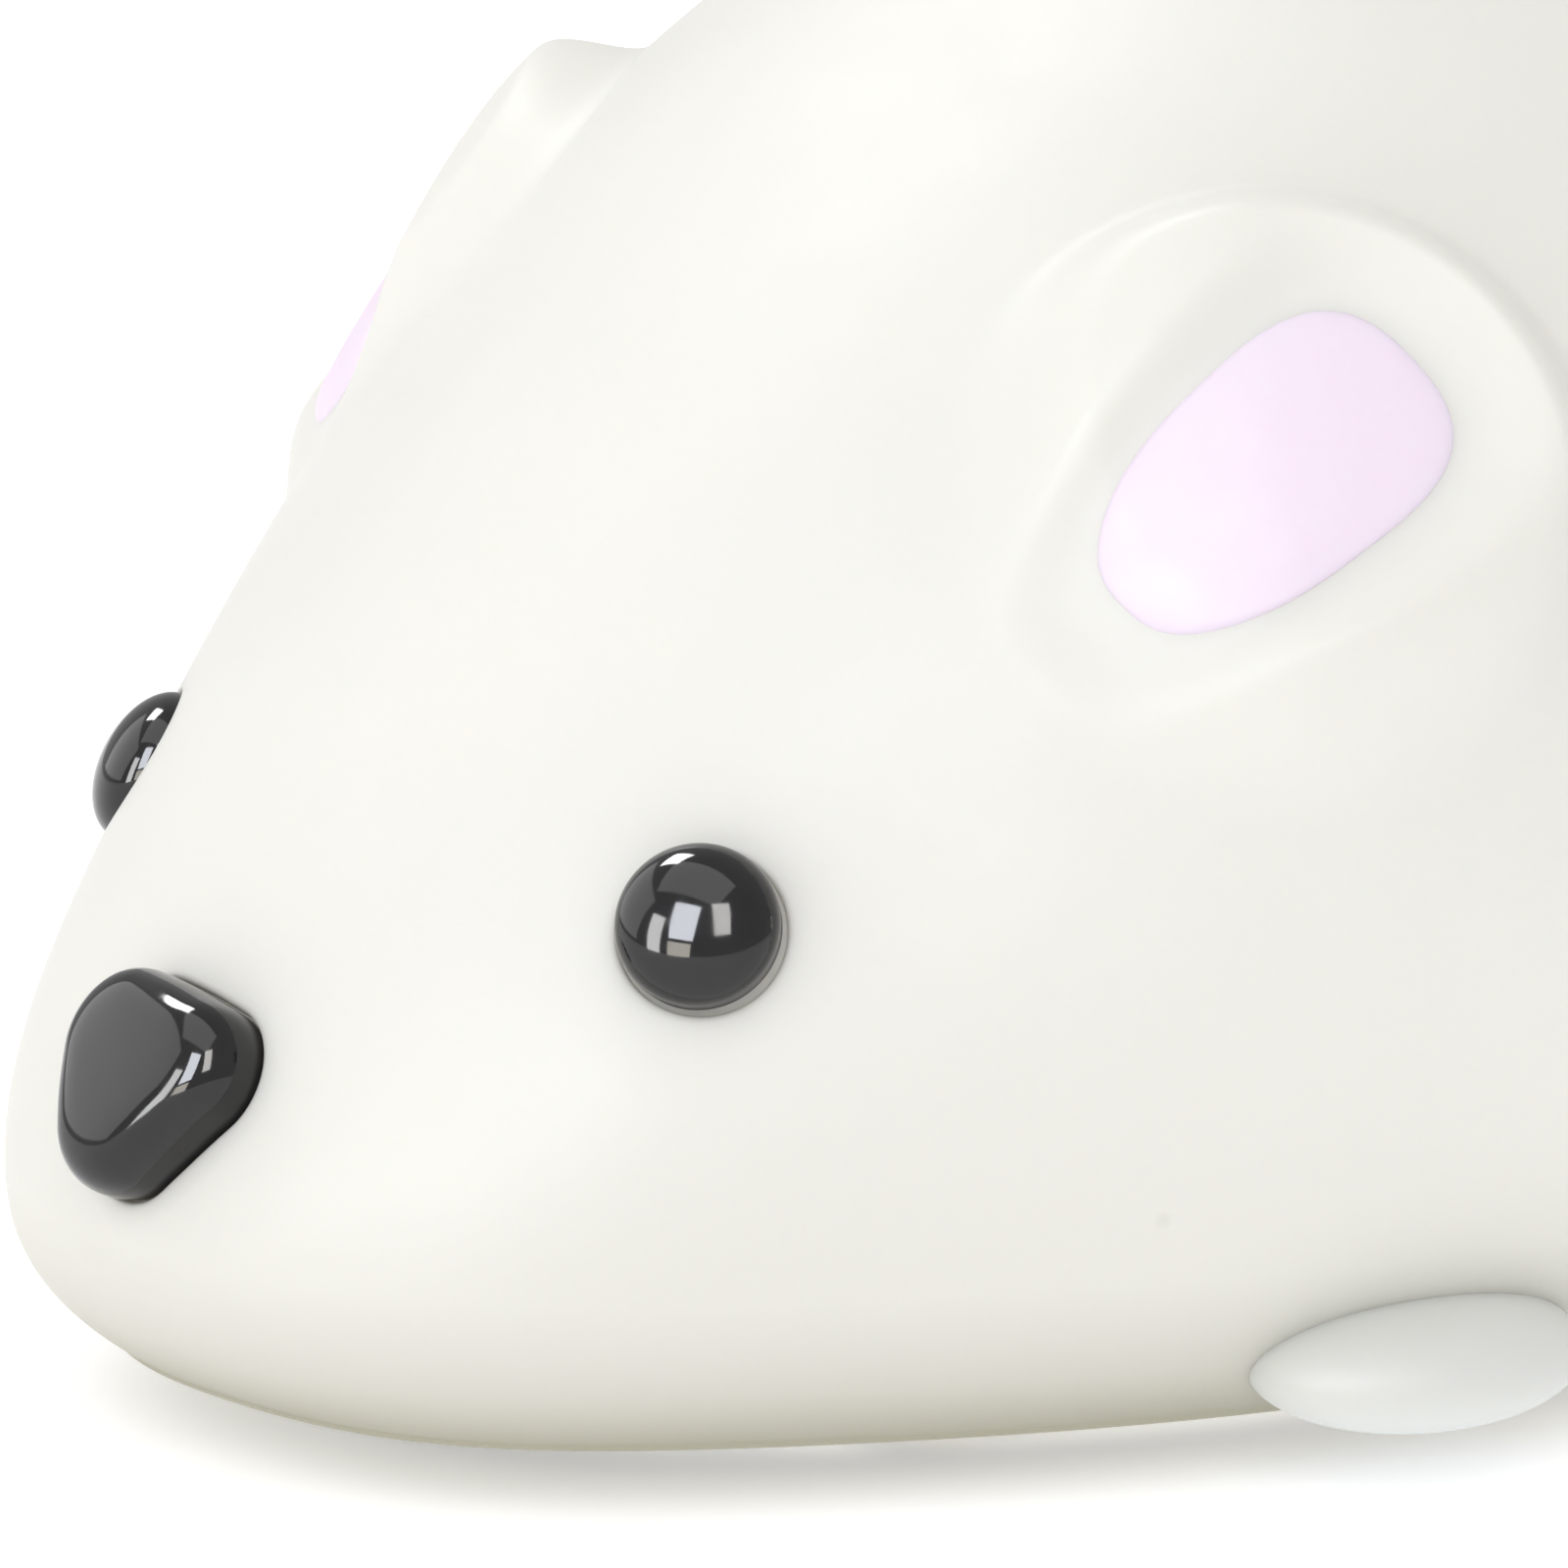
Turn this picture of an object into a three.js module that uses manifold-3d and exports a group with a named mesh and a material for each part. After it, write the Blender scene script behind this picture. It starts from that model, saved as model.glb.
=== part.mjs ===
// Clockwork mouse: a moulded body on a base plate, with a spring motor that turns the rear wheels.
// Millimetres, +Z up. The nose points to -Y and the mouse's own left side is +X.
// The origin is on the middle line, on the flat underside of the base plate.
import * as THREE from 'three';
import { mergeVertices } from 'three/addons/utils/BufferGeometryUtils.js';
import { ParametricGeometry } from 'three/addons/geometries/ParametricGeometry.js';
import Module from 'manifold-3d';

const wasm = await Module();
wasm.setup();

// ---------------------------------------------------------------- driving dimensions

// Body: half length, and the half width, top and underside heights at nine stations from nose to
// rump. The stations are evenly spaced in the angle u, where y = -HALF_LENGTH * cos(u).
const HALF_LENGTH = 46;
const HALF_WIDTHS = [0, 11, 18.5, 25.5, 28.5, 28, 24, 15, 0];
const TOPS = [6, 14.5, 26.5, 40.5, 48.5, 47.5, 41, 28, 14];
const UNDERSIDES = [6, 1, -2.5, -5, -6, -6, -4, 2, 14];
const WIDEST_SHARE = 0.41;      // height of the widest line, as a share of the section
const RIM = 0.65;               // height of the shell's lower edge
const UPPER_POWER = 2.0;        // superellipse powers of the section above and below that line
const LOWER_POWER = 2.4;
const WALL = 2;
const FIT = 0.25;               // clearance between moulded pieces that plug together
const SHAFT_FIT = 0.05;         // clearance of a piece fixed on a shaft
const PIVOT_FIT = 0.15;         // clearance of a turning pivot

const EYE = { radius: 2.57, height: 1.25, sunk: 0.35, seat: 0.95 };
const LEFT_EYE = { y: -35.8, z: 17.85 };
const RIGHT_EYE = { y: -34.3, z: 17.5 };                // a little further back than the left eye
const NOSE = { u: 0.234, halfWidth: 1.66, halfHeight: 1.32, round: 2.05, height: 2.25, seat: 0.9 };
const NOSE_BULGE = 0.04;        // of the middle of its sides, as a share of their distance
const NOSE_SHIFT = -0.56;       // a little off the middle line
const NOSE_TILT = THREE.MathUtils.degToRad(7.8);
const EAR = { y: -17.3, z: 30.1, radius: 10.3, height: 2.5 };
const EAR_LEAN = THREE.MathUtils.degToRad(58);         // of its high edge from the rise
const EAR_EDGE = { end: 1.04, high: 0.25, low: 0.6 };   // where it ends and how wide its slope is, as shares
const EAR_DISH = { depth: 1.0, edge: 1.6 };            // round the lining; edge is a share of its outline
const LINING = { length: 11.9, width: 6.9, thickness: 0.5, proud: 0.12, rise: -0.33, side: -0.45 };
const LINING_TURN = THREE.MathUtils.degToRad(20);      // of its long axis from the ear's rise
const LINING_TAPER = 0.16;
const LINING_POWER = 0.73;                             // below 1 its sides are straighter than an ellipse's
const PAW = { halfLength: 5.9, halfWidth: 4.6, halfHeight: 2.2, z: 2.5, pegRadius: 1, pegZ: 3.0 };
const PAW_PLACES = { front: { x: 23.3, y: -13.4 }, rear: { x: 22.3, y: 27 } };
const TAIL = { z: 13, neck: 1.7, collar: 2.8, root: 2.3, tip: 0.9 };

const PLATE_THICK = 1.2;
const MODULE = 0.5;
const PRESSURE = THREE.MathUtils.degToRad(20);
const BACKLASH = 0.1;
const DEDENDUM = 0.55;
const WHEEL_ADDENDUM = 0.35;    // large wheels have short teeth, so small pinions need no undercut
const PINION_ADDENDUM = 0.4;
const MESH_SLACK = 0.05;        // added to each distance between arbors
const GREAT_TEETH = 48;
const SECOND_TEETH = 40;
const PINION_TEETH = 12;
const RATCHET_TEETH = 14;

const DRIVE = { y: 18, z: 6.8, radius: 8 };
const FRONT = { y: -20, z: 3.3, radius: 4.5 };
const DRIVE_TO_SECOND = MODULE * (SECOND_TEETH + PINION_TEETH) / 2 + MESH_SLACK;
const SECOND_TO_GREAT = MODULE * (GREAT_TEETH + PINION_TEETH) / 2 + MESH_SLACK;
const SECOND_ANGLE = THREE.MathUtils.degToRad(99);      // from the drive axle up to the second arbor
const GREAT_ANGLE = THREE.MathUtils.degToRad(186);      // from the second arbor to the great arbor
const SECOND = {
  y: DRIVE.y + DRIVE_TO_SECOND * Math.cos(SECOND_ANGLE),
  z: DRIVE.z + DRIVE_TO_SECOND * Math.sin(SECOND_ANGLE),
};
const GREAT = {
  y: SECOND.y + SECOND_TO_GREAT * Math.cos(GREAT_ANGLE),
  z: SECOND.z + SECOND_TO_GREAT * Math.sin(GREAT_ANGLE),
};

const FRAME_INNER = 8.1;        // inner face of each motor plate
const FRAME_THICK = 0.8;
const FRAME_OUTER = FRAME_INNER + FRAME_THICK;
const FRAME_BOX = { front: -14, rear: 32, bottom: 3, top: 33, corner: 4 };
const FOOT = { z: 4.5, reach: 12.9, length: 4.4 };
const FOOT_PLACES = [-10.75, 29.6];
const POSTS = [[-11, 7], [-10, 29], [24.5, 29], [26, 9]];
const POST_RADIUS = 1.3;
const TENON_RADIUS = 0.8;

const ARBOR_RADIUS = 1.5;
const SECOND_RADIUS = 1;
const AXLE_RADIUS = 1;
const FRONT_AXLE_RADIUS = 0.75;
const KEY_START = 30.2;

const CASE_SCREWS = [[-6.5, -27.5], [6.5, -27.5], [0, 32.5]];
const BOSS_RADIUS = 2.3;
const BOSS_BOTTOM = 2.85;

// ---------------------------------------------------------------- materials

const WHITE = ['#f6f5ef', 0.55, 0];
const PALE = ['#e8e6dd', 0.6, 0];
const BLACK = ['#1d1d1f', 0.12, 0];
const PINK = ['#f9e8f6', 0.6, 0];
const STEEL = ['#b9bcc0', 0.35, 0.9];
const BRASS = ['#c9a24c', 0.35, 0.9];
const RUBBER = ['#2a2a2c', 0.8, 0];
const NYLON = ['#efe9d8', 0.5, 0];
const SPRING_STEEL = ['#6f7c8c', 0.3, 0.9];

const group = new THREE.Group();

function addPiece(name, geometry, [color, roughness, metalness]) {
  const material = new THREE.MeshStandardMaterial({ color, roughness, metalness, flatShading: true });
  const mesh = new THREE.Mesh(geometry, material);
  mesh.name = name;
  group.add(mesh);
}

// ---------------------------------------------------------------- solids

// Closed geometry with shared corners, no flat slivers and its faces pointing out.
function closed(geometry) {
  const bare = geometry.clone();
  bare.deleteAttribute('normal');
  bare.deleteAttribute('uv');
  const merged = mergeVertices(bare, 1e-4);
  const points = merged.attributes.position;
  const corners = [0, 1, 2].map(() => new THREE.Vector3());
  const kept = [];
  let volume = 0;
  for (let i = 0; i < merged.index.count; i += 3) {
    const face = [0, 1, 2].map((k) => merged.index.getX(i + k));
    if (new Set(face).size < 3) continue;
    kept.push(...face);
    face.forEach((vertex, k) => corners[k].fromBufferAttribute(points, vertex));
    volume += corners[0].dot(corners[1].clone().cross(corners[2]));
  }
  if (volume < 0) kept.reverse();
  merged.setIndex(kept);
  return merged;
}

function solid(geometry) {
  const shape = closed(geometry);
  return new wasm.Manifold(new wasm.Mesh({
    numProp: 3,
    vertProperties: Float32Array.from(shape.attributes.position.array),
    triVerts: Uint32Array.from(shape.index.array),
  }));
}

function geometryOf(body) {
  const mesh = body.getMesh();
  const geometry = new THREE.BufferGeometry();
  geometry.setAttribute('position', new THREE.BufferAttribute(mesh.vertProperties, 3));
  geometry.setIndex(new THREE.BufferAttribute(mesh.triVerts, 1));
  return geometry;
}

// The first geometry with others joined to it and then others cut from it.
function carve(base, joined, cut) {
  let body = solid(base);
  for (const geometry of joined) body = body.add(solid(geometry));
  for (const geometry of cut) body = body.subtract(solid(geometry));
  return geometryOf(body);
}

function mirrored(geometry) {
  const shape = closed(geometry);
  shape.scale(-1, 1, 1);
  return closed(shape);
}

function box(x0, x1, y0, y1, z0, z1) {
  const geometry = new THREE.BoxGeometry(x1 - x0, y1 - y0, z1 - z0);
  return geometry.translate((x0 + x1) / 2, (y0 + y1) / 2, (z0 + z1) / 2);
}

// Matrix that lays shape coordinates (across, up, along) in the (Y, Z, X) directions.
const ALONG_X = new THREE.Matrix4().makeBasis(
  new THREE.Vector3(0, 1, 0), new THREE.Vector3(0, 0, 1), new THREE.Vector3(1, 0, 0));

// Flat shape in the YZ plane, extruded along X from x0 to x1.
function slice(shape, x0, x1, curveSegments = 8) {
  const geometry = new THREE.ExtrudeGeometry(shape, { depth: x1 - x0, bevelEnabled: false, curveSegments });
  return geometry.applyMatrix4(ALONG_X).translate(x0, 0, 0);
}

// Turned piece: pairs of [position along the axis, radius], turned about X at (y, z).
function turnedX(profile, y, z, segments = 20) {
  const points = profile.map(([along, radius]) => new THREE.Vector2(radius, along));
  return new THREE.LatheGeometry(points, segments).rotateZ(-Math.PI / 2).translate(0, y, z);
}

function turnedZ(profile, x, y, segments = 20) {
  const points = profile.map(([along, radius]) => new THREE.Vector2(radius, along));
  return new THREE.LatheGeometry(points, segments).rotateX(Math.PI / 2).translate(x, y, 0);
}

const UPRIGHT_Y = new THREE.Vector3(0, 1, 0);

// Straight pin between two points.
function pin(from, to, radius, segments = 12) {
  const axis = to.clone().sub(from);
  const geometry = new THREE.CylinderGeometry(radius, radius, axis.length(), segments);
  const middle = from.clone().add(to).multiplyScalar(0.5);
  const turn = new THREE.Quaternion().setFromUnitVectors(UPRIGHT_Y, axis.normalize());
  return geometry.applyQuaternion(turn).translate(...middle.toArray());
}

function pinX(x0, x1, y, z, radius, segments = 14) {
  return pin(new THREE.Vector3(x0, y, z), new THREE.Vector3(x1, y, z), radius, segments);
}

function pinZ(z0, z1, x, y, radius, segments = 12) {
  return pin(new THREE.Vector3(x, y, z0), new THREE.Vector3(x, y, z1), radius, segments);
}

// ---------------------------------------------------------------- body surface

// Natural cubic spline through evenly spaced values, for u from 0 to pi.
function spline(values) {
  const last = values.length - 1;
  const bend = new Array(values.length).fill(0);
  const factor = new Array(values.length).fill(0);
  for (let i = 1; i < last; i++) {
    const pivot = 4 - factor[i - 1];
    factor[i] = 1 / pivot;
    bend[i] = (6 * (values[i + 1] - 2 * values[i] + values[i - 1]) - bend[i - 1]) / pivot;
  }
  for (let i = last - 1; i > 0; i--) bend[i] -= factor[i] * bend[i + 1];
  return (u) => {
    const t = THREE.MathUtils.clamp(u / Math.PI * last, 0, last - 1e-9);
    const i = Math.floor(t);
    const b = t - i;
    const a = 1 - b;
    const curve = ((a ** 3 - a) * bend[i] + (b ** 3 - b) * bend[i + 1]) / 6;
    return a * values[i] + b * values[i + 1] + curve;
  };
}

const halfWidth = spline(HALF_WIDTHS);
const top = spline(TOPS);
const underside = spline(UNDERSIDES);
const widest = (u) => underside(u) + WIDEST_SHARE * (top(u) - underside(u));

function signedPower(value, power) {
  return Math.sign(value) * Math.abs(value) ** power;
}

function skinPoint(u, phi) {
  const across = Math.cos(phi);
  const up = Math.sin(phi);
  const power = up >= 0 ? UPPER_POWER : LOWER_POWER;
  const reach = up >= 0 ? top(u) - widest(u) : widest(u) - underside(u);
  return new THREE.Vector3(
    halfWidth(u) * signedPower(across, 2 / power),
    -HALF_LENGTH * Math.cos(u),
    widest(u) + reach * signedPower(up, 2 / power));
}

// Negative inside the body and positive outside it.
function skinValue(point) {
  const u = Math.acos(THREE.MathUtils.clamp(-point.y / HALF_LENGTH, -0.99999, 0.99999));
  const rise = point.z - widest(u);
  const power = rise >= 0 ? UPPER_POWER : LOWER_POWER;
  const reach = rise >= 0 ? top(u) - widest(u) : widest(u) - underside(u);
  const over = Math.max(0, Math.abs(point.y) - HALF_LENGTH);
  const across = Math.abs(point.x) / halfWidth(u);
  return (across ** power + (Math.abs(rise) / reach) ** power) ** (1 / power) - 1 + over;
}

function skinNormal(point) {
  const step = 1e-3;
  const slope = (direction) => skinValue(point.clone().addScaledVector(direction, step))
    - skinValue(point.clone().addScaledVector(direction, -step));
  return new THREE.Vector3(
    slope(new THREE.Vector3(1, 0, 0)),
    slope(new THREE.Vector3(0, 1, 0)),
    slope(new THREE.Vector3(0, 0, 1))).normalize();
}

// Closed skin moved out by a distance, or in if the distance is negative.
function skin(distance, along, around) {
  const poleGap = 1e-2;
  const place = (s, t, target) => {
    const u = s * Math.PI;
    const phi = t * 2 * Math.PI;
    const pole = u < poleGap || u > Math.PI - poleGap;
    const point = skinPoint(pole ? Math.round(s) * Math.PI : u, phi);
    const normal = pole ? new THREE.Vector3(0, 2 * Math.round(s) - 1, 0) : skinNormal(point);
    if (pole) point.x = 0;
    target.copy(point.addScaledVector(normal, distance));
  };
  return new ParametricGeometry(place, along, around);
}

// Point of the skin on the line through a point in a direction, found by halving.
function ontoSkin(point, direction) {
  let inner = -9;
  let outer = 5;
  for (let i = 0; i < 40; i++) {
    const middle = (inner + outer) / 2;
    if (skinValue(point.clone().addScaledVector(direction, middle)) < 0) inner = middle;
    else outer = middle;
  }
  return point.clone().addScaledVector(direction, inner);
}

// Local frame on the skin: centre, outward normal, rise (up and back) and side.
function skinFrame(centre, up) {
  const normal = skinNormal(centre);
  const rise = up.clone().addScaledVector(normal, -up.dot(normal)).normalize();
  return { centre, normal, rise, side: new THREE.Vector3().crossVectors(rise, normal) };
}

function leftSide(y, z) {
  return ontoSkin(new THREE.Vector3(HALF_WIDTHS[4] - 5, y, z), new THREE.Vector3(1, 0, 0));
}

// Solid that follows the skin: an outline in a local frame, with a top and a bottom height.
// outline gives the corner (rise, side) of an angle, height the top at (rise, side, share of radius).
function skinPad(frame, outline, height, bottom, rings, spokes) {
  const levels = 2 * rings + 1;
  const place = (angle, level, target) => {
    const ring = Math.round(level * levels);
    const upper = ring > rings;
    const share = Math.sin(Math.min(ring, levels - ring) / rings * Math.PI / 2);
    const [rise, side] = outline(angle * 2 * Math.PI, share);
    const start = frame.centre.clone().addScaledVector(frame.rise, rise).addScaledVector(frame.side, side);
    const foot = ontoSkin(start, frame.normal);
    const lift = upper ? height(rise, side, share) : bottom(rise, side);
    target.copy(foot.addScaledVector(skinNormal(foot), lift));
  };
  return new ParametricGeometry(place, spokes, levels);
}

// ---------------------------------------------------------------- body shell and what sits on it

const smooth = THREE.MathUtils.smoothstep;
const earFrame = skinFrame(leftSide(EAR.y, EAR.z), new THREE.Vector3(0, 0.6, 0.8));

// 1 on the outline of the ear lining, less inside it and more outside it.
function liningShare(rise, side) {
  const [x, y] = [rise - LINING.rise, side - LINING.side];
  const along = (x * Math.cos(LINING_TURN) + y * Math.sin(LINING_TURN)) / (LINING.length / 2);
  const taper = 1 + LINING_TAPER * THREE.MathUtils.clamp(along, -1, 1);
  const wide = (y * Math.cos(LINING_TURN) - x * Math.sin(LINING_TURN)) / (LINING.width / 2 * taper);
  const power = 2 / LINING_POWER;
  return (Math.abs(along) ** power + Math.abs(wide) ** power) ** (1 / power);
}

// Height of the ear over the skin. It fades into the head in front, slopes down more softly at its
// lower edge than at its upper one, and is dished round its lining.
function earHeight(rise, side) {
  const share = Math.hypot(rise, side) / EAR.radius;
  const back = (rise * Math.cos(EAR_LEAN) + side * Math.sin(EAR_LEAN)) / EAR.radius;
  const slope = THREE.MathUtils.lerp(EAR_EDGE.low, EAR_EDGE.high, smooth(rise / EAR.radius, -0.5, 0.5));
  const dish = EAR_DISH.depth * (1 - smooth(liningShare(rise, side), 1, EAR_DISH.edge));
  return EAR.height * smooth(EAR_EDGE.end - share, 0, slope) * smooth(back, -1.4, 0) - dish;
}

function earPad() {
  const sunk = 0.1;
  const outline = (angle, share) => [
    EAR.radius * EAR_EDGE.end * share * Math.cos(angle),
    EAR.radius * EAR_EDGE.end * share * Math.sin(angle),
  ];
  return skinPad(earFrame, outline, (rise, side) => earHeight(rise, side) - sunk, () => -1.2, 7, 30);
}

// Egg outline of the ear lining, wider at its upper end, grown by a margin.
function liningOutline(margin) {
  return (angle, share) => {
    const across = signedPower(Math.sin(angle), LINING_POWER) * (1 + LINING_TAPER * Math.cos(angle));
    const along = (LINING.length / 2 + margin) * share * signedPower(Math.cos(angle), LINING_POWER);
    const wide = (LINING.width / 2 + margin) * share * across;
    return [
      LINING.rise + along * Math.cos(LINING_TURN) - wide * Math.sin(LINING_TURN),
      LINING.side + along * Math.sin(LINING_TURN) + wide * Math.cos(LINING_TURN),
    ];
  };
}

function earLining(margin, above, below) {
  const height = (rise, side) => earHeight(rise, side) + above;
  const bottom = (rise, side) => earHeight(rise, side) - below;
  return skinPad(earFrame, liningOutline(margin), height, bottom, 3, 20);
}

const PEG_RADIUS = 0.9;
const PEG_LENGTH = 2.6;
const POCKET_DEPTH = 0.3;       // of a pocket under the seat of the piece in it

// Turned shape on the left side of the head, out along the skin's normal. Profile: [along, radius].
function turnedOnSkin(profile, { y, z }, segments = 18) {
  const centre = leftSide(y, z);
  const direction = skinNormal(centre);
  const points = profile.map(([along, radius]) => new THREE.Vector2(radius, along));
  const turn = new THREE.Quaternion().setFromUnitVectors(UPRIGHT_Y, direction);
  return new THREE.LatheGeometry(points, segments).applyQuaternion(turn).translate(...centre.toArray());
}

function eye(place) {
  const profile = [];
  const steps = 5;
  for (let i = 0; i <= steps; i++) {
    const angle = i / steps * Math.PI / 2;
    profile.push([(EYE.height + EYE.sunk) * Math.cos(angle) - EYE.sunk, EYE.radius * Math.sin(angle)]);
  }
  profile.push([-EYE.seat, EYE.radius], [-EYE.seat, PEG_RADIUS]);
  profile.push([-PEG_LENGTH, PEG_RADIUS], [-PEG_LENGTH, 0]);
  return turnedOnSkin(profile, place);
}

function eyePocket(place) {
  const radius = EYE.radius + FIT;
  const depth = EYE.seat + POCKET_DEPTH;
  const hole = PEG_RADIUS + FIT;
  const profile = [[4, 0], [4, radius], [-depth, radius], [-depth, hole], [-4, hole], [-4, 0]];
  return turnedOnSkin(profile, place);
}

const noseFrame = skinFrame(skinPoint(NOSE.u, Math.PI / 2), new THREE.Vector3(0, 0, 1));

// Triangle with round corners, flat side up and a little tilted, as points of (rise, side).
function noseOutline(margin, spokes) {
  const radius = NOSE.round + margin;
  const shape = new THREE.Shape();
  const slant = Math.atan2(2 * NOSE.halfHeight, NOSE.halfWidth);
  shape.absarc(NOSE.halfHeight, NOSE.halfWidth, radius, 0, Math.PI - slant, false);
  shape.absarc(-NOSE.halfHeight, 0, radius, Math.PI - slant, Math.PI + slant, false);
  shape.absarc(NOSE.halfHeight, -NOSE.halfWidth, radius, Math.PI + slant, 2 * Math.PI, false);
  shape.closePath();
  const points = shape.getSpacedPoints(spokes);
  return (angle, share) => {
    const point = points[Math.round(angle / (2 * Math.PI) * spokes)].clone();
    const bulge = 1 + NOSE_BULGE * (1 + Math.cos(3 * point.angle())) / 2;
    point.rotateAround(new THREE.Vector2(), NOSE_TILT).multiplyScalar(bulge * share);
    return [point.x, point.y + NOSE_SHIFT];
  };
}

function nose() {
  const spokes = 24;
  const height = (rise, side, share) => NOSE.height * Math.sqrt(1 - share ** 6);
  const bead = skinPad(noseFrame, noseOutline(0, spokes), height, () => -NOSE.seat, 4, spokes);
  return carve(bead, [nosePeg(PEG_RADIUS, 0.5)], []);
}

function nosePeg(radius, start) {
  const { centre, normal } = noseFrame;
  const from = centre.clone().addScaledVector(normal, -start);
  return pin(from, centre.clone().addScaledVector(normal, -PEG_LENGTH), radius);
}

function nosePocket() {
  return skinPad(noseFrame, noseOutline(FIT, 24), () => 4, () => -NOSE.seat - POCKET_DEPTH, 2, 24);
}

function paw({ x, y }) {
  const lobe = new THREE.SphereGeometry(1, 16, 10).rotateX(Math.PI / 2);
  lobe.scale(PAW.halfWidth, PAW.halfLength, PAW.halfHeight).translate(x, y, PAW.z);
  const trimmed = carve(lobe, [], [skin(FIT, 30, 30)]);
  return carve(trimmed, [pinX(x - 4.6, x + 1.5, y, PAW.pegZ, PAW.pegRadius, 12)], []);
}

function pawHole({ x, y }) {
  return pinX(x - 9, x + 3, y, PAW.pegZ, PAW.pegRadius + FIT, 12);
}

function boss([x, y]) {
  const column = solid(pinZ(BOSS_BOTTOM, 60, x, y, BOSS_RADIUS));
  return geometryOf(column.intersect(solid(skin(-WALL / 2, 18, 18))));
}

function bodyShell() {
  const rightEar = mirrored(earPad());
  const hollow = carve(skin(0, 38, 34), [earPad(), rightEar], [skin(-WALL, 20, 22)]);
  const pockets = [earLining(FIT, 4, LINING.thickness + 0.2)];
  for (const place of Object.values(PAW_PLACES)) pockets.push(pawHole(place));
  const bothSides = pockets.flatMap((pocket) => [pocket, mirrored(pocket)]);
  const pilots = CASE_SCREWS.map(([x, y]) => pinZ(0, 10, x, y, 1, 12));
  return carve(hollow, CASE_SCREWS.map(boss), [
    box(-60, 60, -80, 80, -20, RIM),
    ...bothSides,
    ...pilots,
    eyePocket(LEFT_EYE),
    mirrored(eyePocket(RIGHT_EYE)),
    nosePocket(),
    nosePeg(PEG_RADIUS + FIT, -1),
    pin(new THREE.Vector3(0, 38, TAIL.z), new THREE.Vector3(0, 50, TAIL.z), TAIL.neck + FIT, 20),
    pinX(20, 34, GREAT.y, GREAT.z, ARBOR_RADIUS + 0.5, 20),
  ]);
}

// Tail: a collar inside the shell, a neck through its wall, and a tapering length behind.
function tail() {
  const path = new THREE.CatmullRomCurve3([
    new THREE.Vector3(0, 41.4, TAIL.z),
    new THREE.Vector3(0, 46.5, TAIL.z),
    new THREE.Vector3(0, 52, TAIL.z - 1),
    new THREE.Vector3(3, 62, 8.5),
    new THREE.Vector3(9, 73, 6),
    new THREE.Vector3(10, 85, 8),
    new THREE.Vector3(3, 95, 12.5),
  ]);
  const profile = [
    [0, 0], [0, TAIL.collar], [0.02, TAIL.collar], [0.02, TAIL.neck], [0.08, TAIL.neck],
    [0.08, TAIL.root],
  ];
  const rings = 16;
  for (let i = 1; i <= rings; i++) {
    const share = i / rings;
    profile.push([0.08 + 0.91 * share, THREE.MathUtils.lerp(TAIL.root, TAIL.tip, share)]);
  }
  profile.push([1, TAIL.tip * 0.6], [1, 0]);
  const steps = profile.length - 1;
  const upright = new THREE.Vector3(0, 0, 1);
  const place = (around, level, target) => {
    const [along, radius] = profile[Math.round(level * steps)];
    const tangent = path.getTangentAt(along);
    const side = new THREE.Vector3().crossVectors(tangent, upright).normalize();
    const rise = new THREE.Vector3().crossVectors(side, tangent);
    const angle = around * 2 * Math.PI;
    target.copy(path.getPointAt(along));
    target.addScaledVector(side, radius * Math.cos(angle)).addScaledVector(rise, radius * Math.sin(angle));
  };
  return new ParametricGeometry(place, 10, steps);
}

addPiece('body_shell', bodyShell(), WHITE);
addPiece('eye_left', closed(eye(LEFT_EYE)), BLACK);
addPiece('eye_right', mirrored(eye(RIGHT_EYE)), BLACK);
addPiece('nose', nose(), BLACK);
addPiece('ear_lining_left', closed(earLining(0, LINING.proud, LINING.thickness)), PINK);
addPiece('ear_lining_right', mirrored(earLining(0, LINING.proud, LINING.thickness)), PINK);
for (const [end, place] of Object.entries(PAW_PLACES)) {
  addPiece(`${end}_paw_left`, paw(place), WHITE);
  addPiece(`${end}_paw_right`, mirrored(paw(place)), WHITE);
}
addPiece('tail', closed(tail()), PINK);

// ---------------------------------------------------------------- base plate

const CUP = { radius: 3.1, top: 2.6, floor: 1.6, bore: 2.2 };
const LUG = { inner: 6.8, outer: 8.4, halfLength: 2.2, top: 5.4 };
const MOTOR_BOSS = { x: 11, radius: 1.9, top: FOOT.z - 0.05 };

// Closest distance from a point inside the body to its skin.
function depthInside(point) {
  let foot = point;
  for (let i = 0; i < 4; i++) foot = ontoSkin(point, skinNormal(foot));
  return foot.distanceTo(point);
}

// Outline at z = 0 that stays a given distance inside the skin.
function plateShape(gap) {
  const corners = 44;
  const points = [];
  for (let i = 0; i < corners; i++) {
    const angle = i / corners * 2 * Math.PI;
    let inner = 8;
    let outer = 44;
    for (let k = 0; k < 16; k++) {
      const reach = (inner + outer) / 2;
      const point = new THREE.Vector3(reach * Math.sin(angle), 1 - reach * Math.cos(angle), 0.01);
      if (skinValue(point) < 0 && depthInside(point) > gap) inner = reach;
      else outer = reach;
    }
    points.push(new THREE.Vector2(inner * Math.sin(angle), 1 - inner * Math.cos(angle)));
  }
  return new THREE.Shape(points);
}

function wheelSlot(side, x0, x1, { y, radius }) {
  const half = radius + 0.8;
  return side > 0 ? box(x0, x1, y - half, y + half, -1, 2) : box(-x1, -x0, y - half, y + half, -1, 2);
}

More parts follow.
